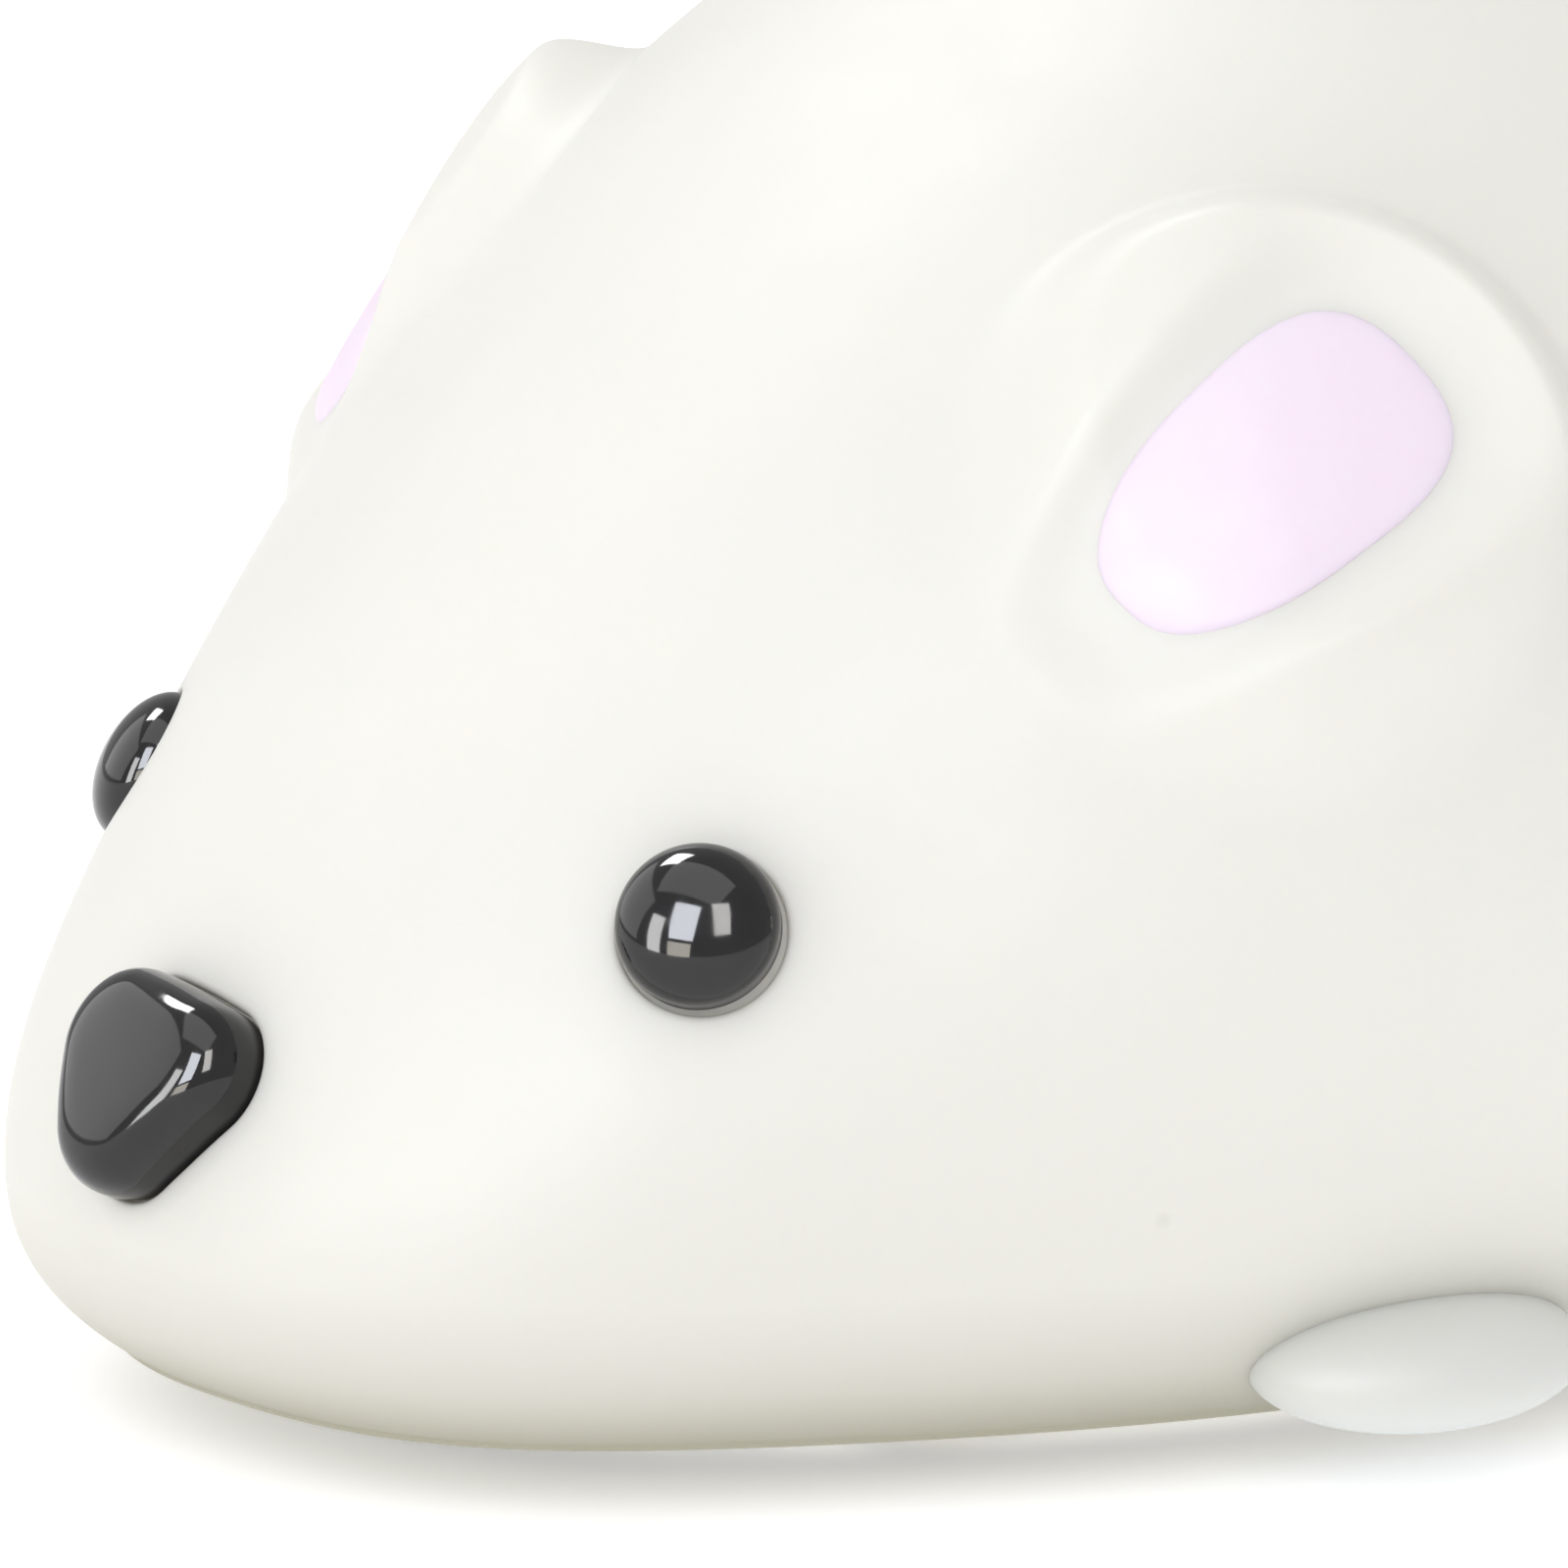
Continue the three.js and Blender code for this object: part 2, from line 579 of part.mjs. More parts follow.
function basePlate() {
  const outline = plateShape(WALL + 2 * FIT);
  const sheet = new THREE.ExtrudeGeometry(outline, { depth: PLATE_THICK, bevelEnabled: false });
  const joined = [];
  const cut = [];
  for (const [x, y] of CASE_SCREWS) {
    joined.push(pinZ(0.4, CUP.top, x, y, CUP.radius, 14));
    cut.push(pinZ(-1, CUP.floor, x, y, CUP.bore, 14), pinZ(1, 4, x, y, 1, 8));
  }
  for (const side of [-1, 1]) {
    const x0 = Math.min(side * LUG.inner, side * LUG.outer);
    const x1 = Math.max(side * LUG.inner, side * LUG.outer);
    joined.push(box(x0, x1, FRONT.y - LUG.halfLength, FRONT.y + LUG.halfLength, 0.4, LUG.top));
    cut.push(pinX(x0 - 1, x1 + 1, FRONT.y, FRONT.z, FRONT_AXLE_RADIUS + PIVOT_FIT, 12));
    cut.push(wheelSlot(side, 9.5, 12.6, FRONT), wheelSlot(side, 10.4, 16.6, { y: DRIVE.y, radius: 8.2 }));
    for (const y of FOOT_PLACES) {
      joined.push(pinZ(0.4, MOTOR_BOSS.top, side * MOTOR_BOSS.x, y, MOTOR_BOSS.radius, 10));
      cut.push(pinZ(1.6, 6, side * MOTOR_BOSS.x, y, 0.9, 8));
    }
  }
  return carve(sheet, joined, cut);
}

function caseScrew([x, y]) {
  const head = [[0.35, 0], [0.35, 1.9], [1.55, 1.9], [1.55, 0.85], [8.6, 0.85], [9.2, 0.3], [9.2, 0]];
  const slot = box(x - 0.3, x + 0.3, y - 3, y + 3, 0, 0.85);
  return carve(turnedZ(head, x, y, 12), [], [slot]);
}

addPiece('base_plate', basePlate(), PALE);
CASE_SCREWS.forEach((place, i) => addPiece(`case_screw_${i + 1}`, caseScrew(place), STEEL));

// ---------------------------------------------------------------- motor frame

function motorPlate(arborHole) {
  const { front, rear, bottom, top: upper, corner } = FRAME_BOX;
  const shape = new THREE.Shape();
  shape.moveTo(front, bottom);
  shape.lineTo(rear, bottom);
  shape.lineTo(rear, upper - corner);
  shape.absarc(rear - corner, upper - corner, corner, 0, Math.PI / 2, false);
  shape.lineTo(front + corner, upper);
  shape.absarc(front + corner, upper - corner, corner, Math.PI / 2, Math.PI, false);
  shape.closePath();
  const joined = FOOT_PLACES.map((y) => box(
    FRAME_INNER + 0.2, FOOT.reach, y - FOOT.length / 2, y + FOOT.length / 2, FOOT.z, FOOT.z + FRAME_THICK));
  const cut = FOOT_PLACES.map((y) => pinZ(3, 7, MOTOR_BOSS.x, y, 0.95, 12));
  const bores = [
    [GREAT.y, GREAT.z, arborHole],
    [SECOND.y, SECOND.z, 0.75],
    [DRIVE.y, DRIVE.z, AXLE_RADIUS + PIVOT_FIT],
    ...POSTS.map(([y, z]) => [y, z, TENON_RADIUS + SHAFT_FIT]),
  ];
  for (const [y, z, radius] of bores) cut.push(pinX(7, 11, y, z, radius, 12));
  const window = new THREE.Shape();
  window.absarc(GREAT.y, GREAT.z, 8, Math.PI * 0.62, Math.PI * 1.38, false);
  window.absarc(GREAT.y, GREAT.z, 4, Math.PI * 1.38, Math.PI * 0.62, true);
  window.closePath();
  cut.push(slice(window, 7, 11));
  return carve(slice(shape, FRAME_INNER, FRAME_OUTER), joined, cut);
}

function post([y, z]) {
  const shoulder = FRAME_INNER - 0.05;
  const end = FRAME_OUTER + 0.5;
  return turnedX([
    [-end, 0], [-end, TENON_RADIUS], [-shoulder, TENON_RADIUS], [-shoulder, POST_RADIUS],
    [shoulder, POST_RADIUS], [shoulder, TENON_RADIUS], [end, TENON_RADIUS], [end, 0],
  ], y, z, 10);
}

function motorScrew(x, y) {
  const seat = FOOT.z + FRAME_THICK + 0.05;
  const profile = [[2, 0], [2, 0.75], [seat, 0.75], [seat, 1.6], [seat + 1, 1.5], [seat + 1, 0]];
  const slot = box(x - 2, x + 2, y - 0.25, y + 0.25, seat + 0.5, seat + 2);
  return carve(turnedZ(profile, x, y, 10), [], [slot]);
}

addPiece('motor_plate_left', motorPlate(ARBOR_RADIUS + PIVOT_FIT), STEEL);
addPiece('motor_plate_right', mirrored(motorPlate(0.95)), STEEL);
POSTS.forEach((place, i) => addPiece(`frame_post_${i + 1}`, closed(post(place)), BRASS));
FOOT_PLACES.forEach((y, i) => {
  const end = i ? 'rear' : 'front';
  addPiece(`motor_screw_${end}_left`, motorScrew(MOTOR_BOSS.x, y), STEEL);
  addPiece(`motor_screw_${end}_right`, motorScrew(-MOTOR_BOSS.x, y), STEEL);
});

// ---------------------------------------------------------------- gears

function polar([radius, angle]) {
  return new THREE.Vector2(radius * Math.cos(angle), radius * Math.sin(angle));
}

// Involute gear outline about (0, 0), with a tooth centred on the angle phase.
function gearShape(teeth, addendum, phase, bore, flankSteps) {
  const pitch = MODULE * teeth / 2;
  const base = pitch * Math.cos(PRESSURE);
  const root = pitch - DEDENDUM;
  const tip = pitch + addendum;
  const involute = (radius) => {
    const roll = Math.sqrt((Math.max(radius, base) / base) ** 2 - 1);
    return roll - Math.atan(roll);
  };
  const halfTooth = Math.PI / (2 * teeth) - BACKLASH / (2 * pitch);
  const halfAngle = (radius) => halfTooth + involute(pitch) - involute(radius);
  const start = Math.max(base, root);
  const flank = base > root ? [root] : [];
  for (let i = 0; i <= flankSteps; i++) flank.push(start + (tip - start) * i / flankSteps);
  const points = [];
  for (let tooth = 0; tooth < teeth; tooth++) {
    const middle = phase + tooth / teeth * 2 * Math.PI;
    for (const radius of flank) points.push([radius, middle - halfAngle(radius)]);
    for (const radius of flank.toReversed()) points.push([radius, middle + halfAngle(radius)]);
  }
  const shape = new THREE.Shape(points.map(polar));
  shape.holes.push(new THREE.Path().absarc(0, 0, bore, 0, 2 * Math.PI, true));
  return shape;
}

function placed(geometry, { y, z }) {
  return geometry.translate(0, y, z);
}

const halfTurn = Math.PI;
const pinionGap = Math.PI / PINION_TEETH;
const greatToSecond = GREAT_ANGLE + halfTurn;
const secondToDrive = SECOND_ANGLE + halfTurn;

function greatWheel() {
  const shape = gearShape(GREAT_TEETH, WHEEL_ADDENDUM, greatToSecond, ARBOR_RADIUS + PIVOT_FIT, 1);
  const spokes = 4;
  for (let i = 0; i < spokes; i++) {
    const start = i / spokes * 2 * Math.PI + 1.1;
    const window = new THREE.Path();
    window.absarc(0, 0, 9.6, start, start + 0.8, false);
    window.absarc(0, 0, 5.6, start + 0.8, start, true);
    shape.holes.push(window);
  }
  const wheel = slice(shape, 3, 4.5, 5);
  return placed(carve(wheel, [], [pinX(3.4, 5, CLICK.pin.y, CLICK.pin.z, 0.75, 12)]), GREAT);
}

// Click: it pivots on the great wheel and its tip drops behind the ratchet's teeth.
const CLICK = { pin: { y: 0, z: 8 }, x0: 4.7, x1: 5.7, tip: { y: 3.44, z: 2.72 } };
const RATCHET = { tip: 4.2, root: 3.3 };

function click() {
  const { pin: pivot, tip } = CLICK;
  const shape = new THREE.Shape();
  shape.absarc(pivot.y, pivot.z, 1.5, -0.15, Math.PI * 1.2, false);
  shape.lineTo(tip.y - 0.5, tip.z + 1.1);
  shape.lineTo(tip.y, tip.z);
  shape.lineTo(tip.y + 0.55, tip.z + 0.75);
  shape.closePath();
  shape.holes.push(new THREE.Path().absarc(pivot.y, pivot.z, 0.85, 0, 2 * Math.PI, true));
  return placed(slice(shape, CLICK.x0, CLICK.x1, 6), GREAT);
}

function clickPin() {
  const { pin: pivot, x1 } = CLICK;
  const head = x1 + 0.15;
  const profile = [[3.45, 0], [3.45, 0.7], [head, 0.7], [head, 1.2], [head + 0.45, 1.2], [head + 0.45, 0]];
  return turnedX(profile, GREAT.y + pivot.y, GREAT.z + pivot.z, 14);
}

function clickSpring() {
  const shape = new THREE.Shape();
  shape.moveTo(9.4, 3.4);
  shape.lineTo(10.3, 4.4);
  shape.lineTo(9.2, 5.6);
  shape.lineTo(4.2, 7.25);
  shape.lineTo(4.1, 6.95);
  shape.lineTo(8.5, 5.2);
  shape.closePath();
  return placed(slice(shape, 4.55, 5.6), GREAT);
}

function ratchetWheel() {
  const points = [];
  for (let i = 0; i < RATCHET_TEETH; i++) {
    const angle = i / RATCHET_TEETH * 2 * Math.PI;
    points.push(polar([RATCHET.tip, angle]), polar([RATCHET.root, angle + 0.06]));
  }
  const shape = new THREE.Shape(points);
  shape.holes.push(new THREE.Path().absarc(0, 0, ARBOR_RADIUS + SHAFT_FIT, 0, 2 * Math.PI, true));
  return placed(slice(shape, 4.8, 6), GREAT);
}

function windingArbor() {
  const far = FRAME_OUTER + 0.4;
  const profile = [
    [-far, 0], [-far, 0.8], [-FRAME_INNER + 0.3, 0.8], [-FRAME_INNER + 0.3, ARBOR_RADIUS],
    [KEY_START - 0.4, ARBOR_RADIUS], [KEY_START - 0.4, 1.1], [KEY_START + 3.6, 1.1], [KEY_START + 3.6, 0],
  ];
  return turnedX(profile, GREAT.y, GREAT.z, 20);
}

// Butterfly key: a collar and two flat wings with round holes.
function windingKey() {
  const wing = new THREE.Shape();
  const reach = 5.2;
  const lobe = 4.2;
  const middle = KEY_START + 8.2;
  wing.moveTo(KEY_START + 4.6, -1.8);
  wing.absarc(middle, -reach, lobe, Math.PI * 0.86, Math.PI * 2.2, false);
  wing.absarc(middle, reach, lobe, Math.PI * 1.8, Math.PI * 3.14, false);
  wing.lineTo(KEY_START + 4.6, 1.8);
  wing.closePath();
  for (const side of [-1, 1]) {
    wing.holes.push(new THREE.Path().absarc(middle + 0.2, side * (reach + 0.2), 2.1, 0, 2 * Math.PI, true));
  }
  const thick = 1.4;
  const sheet = new THREE.ExtrudeGeometry(wing, { depth: thick, bevelEnabled: false, curveSegments: 12 });
  sheet.rotateX(Math.PI / 2).translate(0, GREAT.y + thick / 2, GREAT.z);
  const collar = turnedX([
    [KEY_START, 0], [KEY_START, 2.4], [KEY_START + 4.4, 2.4], [KEY_START + 6.2, 1.2], [KEY_START + 6.2, 0],
  ], GREAT.y, GREAT.z, 20);
  return carve(collar, [sheet], [pinX(KEY_START - 1, KEY_START + 3.7, GREAT.y, GREAT.z, 1.1 + SHAFT_FIT)]);
}

// Spiral strip from just outside the arbor to near the rear frame post.
function mainspring() {
  const turns = 4.5;
  const inner = 2.6;
  const outer = 9.6;
  const thick = 0.3;
  const steps = 60;
  const edge = (offset) => Array.from({ length: steps + 1 }, (_, i) => {
    const angle = i / steps * turns * 2 * Math.PI;
    return polar([inner + (outer - inner) * i / steps + offset, angle]);
  });
  return placed(slice(new THREE.Shape([...edge(thick), ...edge(0).toReversed()]), -7, -1), GREAT);
}

function secondArbor() {
  const far = FRAME_OUTER + 0.3;
  const shoulder = FRAME_INNER - 0.3;
  return turnedX([
    [-far, 0], [-far, 0.6], [-shoulder, 0.6], [-shoulder, SECOND_RADIUS],
    [shoulder, SECOND_RADIUS], [shoulder, 0.6], [far, 0.6], [far, 0],
  ], SECOND.y, SECOND.z, 16);
}

function pinion(phase, bore, x0, x1, place) {
  return placed(slice(gearShape(PINION_TEETH, PINION_ADDENDUM, phase, bore, 1), x0, x1, 6), place);
}

function secondWheel() {
  const shape = gearShape(SECOND_TEETH, WHEEL_ADDENDUM, secondToDrive, SECOND_RADIUS + SHAFT_FIT, 1);
  const holes = 5;
  for (let i = 0; i < holes; i++) {
    const middle = polar([5.8, i / holes * 2 * Math.PI]);
    shape.holes.push(new THREE.Path().absarc(middle.x, middle.y, 2, 0, 2 * Math.PI, true));
  }
  return placed(slice(shape, 0.8, 2, 6), SECOND);
}

addPiece('mainspring', closed(mainspring()), SPRING_STEEL);
addPiece('great_wheel', closed(greatWheel()), BRASS);
addPiece('click', closed(click()), STEEL);
addPiece('click_pin', closed(clickPin()), STEEL);
addPiece('click_spring', closed(clickSpring()), SPRING_STEEL);
addPiece('winding_arbor', closed(windingArbor()), STEEL);
addPiece('ratchet_wheel', closed(ratchetWheel()), STEEL);
addPiece('winding_key', windingKey(), STEEL);
addPiece('second_arbor', closed(secondArbor()), STEEL);
const secondPinionPhase = greatToSecond + halfTurn + pinionGap;
const drivePinionPhase = secondToDrive + halfTurn + pinionGap;
const secondPinion = pinion(secondPinionPhase, SECOND_RADIUS + SHAFT_FIT, 2.6, 4.7, SECOND);
const drivePinion = pinion(drivePinionPhase, AXLE_RADIUS + SHAFT_FIT, 0.4, 2.4, DRIVE);
addPiece('second_pinion', closed(secondPinion), BRASS);
addPiece('second_wheel', closed(secondWheel()), NYLON);
addPiece('drive_pinion', closed(drivePinion), BRASS);

// ---------------------------------------------------------------- axles and wheels

const DRIVE_WHEEL = { inner: 11, outer: 16, rim: 6.5, bore: AXLE_RADIUS + SHAFT_FIT };

function driveWheel() {
  const { inner, outer, rim, bore } = DRIVE_WHEEL;
  return turnedX([
    [inner, bore], [inner, 2.2], [inner + 1.6, 2.4], [inner + 1.6, rim - 1], [inner + 0.3, rim - 0.8],
    [inner + 0.3, rim], [outer - 0.3, rim], [outer - 0.3, rim - 0.8], [inner + 2.8, rim - 1],
    [inner + 2.8, 2.4], [outer, 2.2], [outer, bore], [inner, bore],
  ], DRIVE.y, DRIVE.z, 18);
}

function driveTyre() {
  const { inner, outer, rim } = DRIVE_WHEEL;
  const seat = rim + SHAFT_FIT;
  const x0 = inner + 0.5;
  const x1 = outer - 0.5;
  return turnedX([
    [x0, seat], [x0, DRIVE.radius - 0.5], [x0 + 0.5, DRIVE.radius], [x1 - 0.5, DRIVE.radius],
    [x1, DRIVE.radius - 0.5], [x1, seat], [x0, seat],
  ], DRIVE.y, DRIVE.z, 26);
}

function frontWheel() {
  const bore = FRONT_AXLE_RADIUS + SHAFT_FIT;
  const { radius } = FRONT;
  return turnedX([
    [9.9, bore], [9.9, 1.7], [10.4, 1.9], [10.4, radius - 1], [10, radius - 0.6], [10.3, radius],
    [11.9, radius], [12.2, radius - 0.6], [12.2, bore], [9.9, bore],
  ], FRONT.y, FRONT.z, 22);
}

addPiece('drive_axle', closed(pinX(-16.4, 16.4, DRIVE.y, DRIVE.z, AXLE_RADIUS)), STEEL);
addPiece('drive_wheel_left', closed(driveWheel()), NYLON);
addPiece('drive_wheel_right', mirrored(driveWheel()), NYLON);
addPiece('drive_tyre_left', closed(driveTyre()), RUBBER);
addPiece('drive_tyre_right', mirrored(driveTyre()), RUBBER);
addPiece('front_axle', closed(pinX(-12.6, 12.6, FRONT.y, FRONT.z, FRONT_AXLE_RADIUS)), STEEL);
addPiece('front_wheel_left', closed(frontWheel()), NYLON);
addPiece('front_wheel_right', mirrored(frontWheel()), NYLON);

export default group;
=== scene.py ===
"""Clockwork mouse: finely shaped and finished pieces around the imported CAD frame.

Shapes are worked out in millimetres and turned into metres by make_object(). The nose points to -Y,
the mouse's own left side is +X, and +Z is up. The dimensions repeat those of the CAD part.
"""
import math

import bmesh
import bpy
import numpy as np
from mathutils import Matrix, Vector, geometry


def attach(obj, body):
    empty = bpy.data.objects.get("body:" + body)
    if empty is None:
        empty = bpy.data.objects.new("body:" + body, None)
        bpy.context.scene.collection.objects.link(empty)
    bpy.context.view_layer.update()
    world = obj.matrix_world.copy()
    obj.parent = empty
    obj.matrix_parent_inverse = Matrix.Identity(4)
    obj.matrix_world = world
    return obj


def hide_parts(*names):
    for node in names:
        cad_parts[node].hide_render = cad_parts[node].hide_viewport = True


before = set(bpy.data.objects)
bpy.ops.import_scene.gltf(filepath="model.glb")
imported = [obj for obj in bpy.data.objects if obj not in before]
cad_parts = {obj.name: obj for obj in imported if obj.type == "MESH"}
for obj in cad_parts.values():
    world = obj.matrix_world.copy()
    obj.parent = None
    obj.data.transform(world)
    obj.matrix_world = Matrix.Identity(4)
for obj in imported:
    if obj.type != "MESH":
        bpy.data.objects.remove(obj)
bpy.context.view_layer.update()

MM = 0.001
PI = math.pi
SAME_POINT = 1e-7               # metres

# ---- dimensions, in millimetres

HALF_LENGTH = 46
HALF_WIDTHS = [0, 11, 18.5, 25.5, 28.5, 28, 24, 15, 0]
TOPS = [6, 14.5, 26.5, 40.5, 48.5, 47.5, 41, 28, 14]
UNDERSIDES = [6, 1, -2.5, -5, -6, -6, -4, 2, 14]
WIDEST_SHARE = 0.41
UPPER_POWER = 2.0
LOWER_POWER = 2.4
WALL = 2

RIM = 0.65                      # height of the shell's lower edge

EYE = {"radius": 2.57, "height": 1.25, "sunk": 0.35, "seat": 0.95}
LEFT_EYE = (-35.8, 17.85)
RIGHT_EYE = (-34.3, 17.5)       # a little further back than the left eye
NOSE = {"u": 0.234, "half_width": 1.66, "half_height": 1.32, "round": 2.05, "height": 2.25, "seat": 0.9}
NOSE_BULGE = 0.04               # of the middle of its sides, as a share of their distance
NOSE_SHIFT = -0.56              # a little off the middle line
NOSE_TILT = math.radians(7.8)
EAR = {"y": -17.3, "z": 30.1, "radius": 10.3, "height": 2.5, "lean": math.radians(58)}
EAR_EDGE = {"end": 1.04, "high": 0.25, "low": 0.6}      # its end and the width of its slope, as shares
EAR_DISH = {"depth": 1.0, "edge": 1.6}      # round the lining; edge is a share of its outline
LINING = {"length": 11.9, "width": 6.9, "thickness": 0.5, "proud": 0.12, "rise": -0.33, "side": -0.45}
LINING_TURN = math.radians(20)
LINING_TAPER = 0.16
LINING_POWER = 0.73             # below 1 its sides are straighter than an ellipse's
PAW = {"half_length": 5.9, "half_width": 4.6, "half_height": 2.2, "z": 2.5}
PAW_PLACES = {"front": (23.3, -13.4), "rear": (22.3, 27)}
TAIL = {"collar": 2.8, "neck": 1.8, "root": 2.3, "tip": 0.9}

GATE_MARK = (22.8, -23.75, 8.3)
GROUND = -1.2
PLATE_THICK = 1.2
CASE_SCREWS = [(-6.5, -27.5), (6.5, -27.5), (0, 32.5)]
SCREW = {"seat": 0.35, "head": 1.9, "thick": 1.2, "shank": 0.85, "length": 8.85, "pitch": 0.45, "slot": 0.27}
DRIVE = {"y": 18, "z": 6.8, "radius": 8, "inner": 11, "outer": 16, "rim": 6.5}
FRONT = {"y": -20, "z": 3.3, "radius": 4.5}
GREAT = {"y": 0.990976, "z": 18.116179}
KEY_START = 30.2
KEY_HOLE = 2

# ---- body surface


def natural_spline(values):
    """Natural cubic spline through evenly spaced values, as a function of u from 0 to pi."""
    heights = np.array(values, float)
    last = len(values) - 1
    bend = np.zeros(last + 1)
    rows = 4 * np.eye(last - 1) + np.eye(last - 1, k=1) + np.eye(last - 1, k=-1)
    bend[1:-1] = np.linalg.solve(rows, 6 * (heights[2:] - 2 * heights[1:-1] + heights[:-2]))

    def value(u):
        t = np.clip(np.asarray(u) / PI * last, 0, last - 1e-9)
        i = np.floor(t).astype(int)
        b = t - i
        a = 1 - b
        curve = ((a**3 - a) * bend[i] + (b**3 - b) * bend[i + 1]) / 6
        return a * heights[i] + b * heights[i + 1] + curve

    return value


half_width = natural_spline(HALF_WIDTHS)
top = natural_spline(TOPS)
underside = natural_spline(UNDERSIDES)


def widest(u):
    return underside(u) + WIDEST_SHARE * (top(u) - underside(u))


def signed_power(value, power):
    return np.sign(value) * np.abs(value) ** power


def section(u, above):
    """Power and height of the upper or the lower half of the sections at u."""
    power = np.where(above, UPPER_POWER, LOWER_POWER)
    return power, np.where(above, top(u) - widest(u), widest(u) - underside(u))


def skin_point(u, phi):
    """Points of the skin at length angles u and section angles phi."""
    u, phi = np.broadcast_arrays(u, phi)
    across, up = np.cos(phi), np.sin(phi)
    power, reach = section(u, up >= 0)
    x = half_width(u) * signed_power(across, 2 / power)
    z = widest(u) + reach * signed_power(up, 2 / power)
    return np.stack([x, -HALF_LENGTH * np.cos(u), z], axis=-1)


def skin_value(points):
    """Negative inside the body and positive outside it."""
    x, y, z = np.moveaxis(np.asarray(points, float), -1, 0)
    u = np.arccos(np.clip(-y / HALF_LENGTH, -0.99999, 0.99999))
    rise = z - widest(u)
    power, reach = section(u, rise >= 0)
    over = np.maximum(0, np.abs(y) - HALF_LENGTH)
    share = (np.abs(x) / half_width(u)) ** power + (np.abs(rise) / reach) ** power
    return share ** (1 / power) - 1 + over


def unit(vectors):
    vectors = np.asarray(vectors, float)
    return vectors / np.maximum(np.linalg.norm(vectors, axis=-1, keepdims=True), 1e-12)


def skin_normal(points):
    points = np.asarray(points, float)
    step = 1e-3
    slopes = []
    for axis in np.eye(3):
        slopes.append(skin_value(points + step * axis) - skin_value(points - step * axis))
    normals = unit(np.stack(slopes, axis=-1))
    pole = np.abs(points[..., 1]) > HALF_LENGTH * math.cos(0.012)
    normals[pole] = np.sign(points[pole][..., 1:2]) * np.array([0, 1, 0])
    return normals


def onto_skin(points, direction):
    """Where lines through the points in a direction leave the body, found by halving."""
    points = np.asarray(points, float)
    inner = np.full(points.shape[:-1], -9.0)
    outer = np.full(points.shape[:-1], 5.0)
    for _ in range(40):
        middle = (inner + outer) / 2
        inside = skin_value(points + middle[..., None] * direction) < 0
        inner = np.where(inside, middle, inner)
        outer = np.where(inside, outer, middle)
    return points + inner[..., None] * direction


class SkinFrame:
    """Local frame on the skin: centre, outward normal, rise (up and back) and side."""

    def __init__(self, centre, up):
        self.centre = np.asarray(centre, float)
        self.normal = skin_normal(self.centre)
        up = np.asarray(up, float)
        self.rise = unit(up - up.dot(self.normal) * self.normal)
        self.side = np.cross(self.rise, self.normal)

    def flat(self, points):
        """(rise, side) of points, and how far they are along the normal."""
        offset = np.asarray(points) - self.centre
        return np.stack([offset @ self.rise, offset @ self.side], axis=-1), offset @ self.normal

    def lifted(self, rise, side, lift):
        """Points a distance over the skin at (rise, side)."""
        rise, side, lift = np.broadcast_arrays(rise, side, lift)
        start = self.centre + rise[..., None] * self.rise + side[..., None] * self.side
        foot = onto_skin(start, self.normal)
        return foot + lift[..., None] * skin_normal(foot)


def left_side(y, z):
    return onto_skin(np.array([HALF_WIDTHS[4] - 5, y, z], float), np.array([1.0, 0, 0]))


def smoothstep(value, low, high):
    t = np.clip((value - low) / (high - low), 0, 1)
    return t * t * (3 - 2 * t)


ear_frame = SkinFrame(left_side(EAR["y"], EAR["z"]), (0, 0.6, 0.8))
left_eye_frame = SkinFrame(left_side(*LEFT_EYE), (0, 0, 1))
right_eye_frame = SkinFrame(left_side(*RIGHT_EYE), (0, 0, 1))
nose_frame = SkinFrame(skin_point(NOSE["u"], PI / 2), (0, 0, 1))
key_frame = SkinFrame(left_side(GREAT["y"], GREAT["z"]), (0, 0, 1))


def lining_share(rise, side):
    """1 on the outline of the ear lining, less inside it and more outside it."""
    x, y = rise - LINING["rise"], side - LINING["side"]
    along = (x * math.cos(LINING_TURN) + y * math.sin(LINING_TURN)) / (LINING["length"] / 2)
    taper = 1 + LINING_TAPER * np.clip(along, -1, 1)
    wide = (y * math.cos(LINING_TURN) - x * math.sin(LINING_TURN)) / (LINING["width"] / 2 * taper)
    power = 2 / LINING_POWER
    return (np.abs(along) ** power + np.abs(wide) ** power) ** (1 / power)


def ear_height(rise, side):
    """Height of the ear over the head.

    It fades into the head in front, slopes down more softly at its lower edge than at its upper
    one, and is dished round its lining.
    """
    share = np.hypot(rise, side) / EAR["radius"]
    back = (rise * math.cos(EAR["lean"]) + side * math.sin(EAR["lean"])) / EAR["radius"]
    upper = smoothstep(rise / EAR["radius"], -0.5, 0.5)
    slope = EAR_EDGE["low"] + (EAR_EDGE["high"] - EAR_EDGE["low"]) * upper
    dish = EAR_DISH["depth"] * (1 - smoothstep(lining_share(rise, side), 1, EAR_DISH["edge"]))
    return EAR["height"] * smoothstep(EAR_EDGE["end"] - share, 0, slope) * smoothstep(back, -1.4, 0) - dish


# ---- mesh building


def make_object(name, points, faces, material, smooth_angle=None):
    """A new object from points in millimetres, with its faces pointing out."""
    mesh = bpy.data.meshes.new(name)
    mesh.from_pydata([tuple(p) for p in np.asarray(points, float) * MM], [], [list(f) for f in faces])
    mesh.validate()
    tidy_mesh(mesh)
    mesh.materials.append(material)
    mesh.shade_smooth()
    if smooth_angle is not None:
        mesh.set_sharp_from_angle(angle=math.radians(smooth_angle))
    return in_scene(name, mesh)


def in_scene(name, data):
    """A new object in the scene with this mesh or lamp or camera."""
    thing = bpy.data.objects.new(name, data)
    bpy.context.scene.collection.objects.link(thing)
    return thing


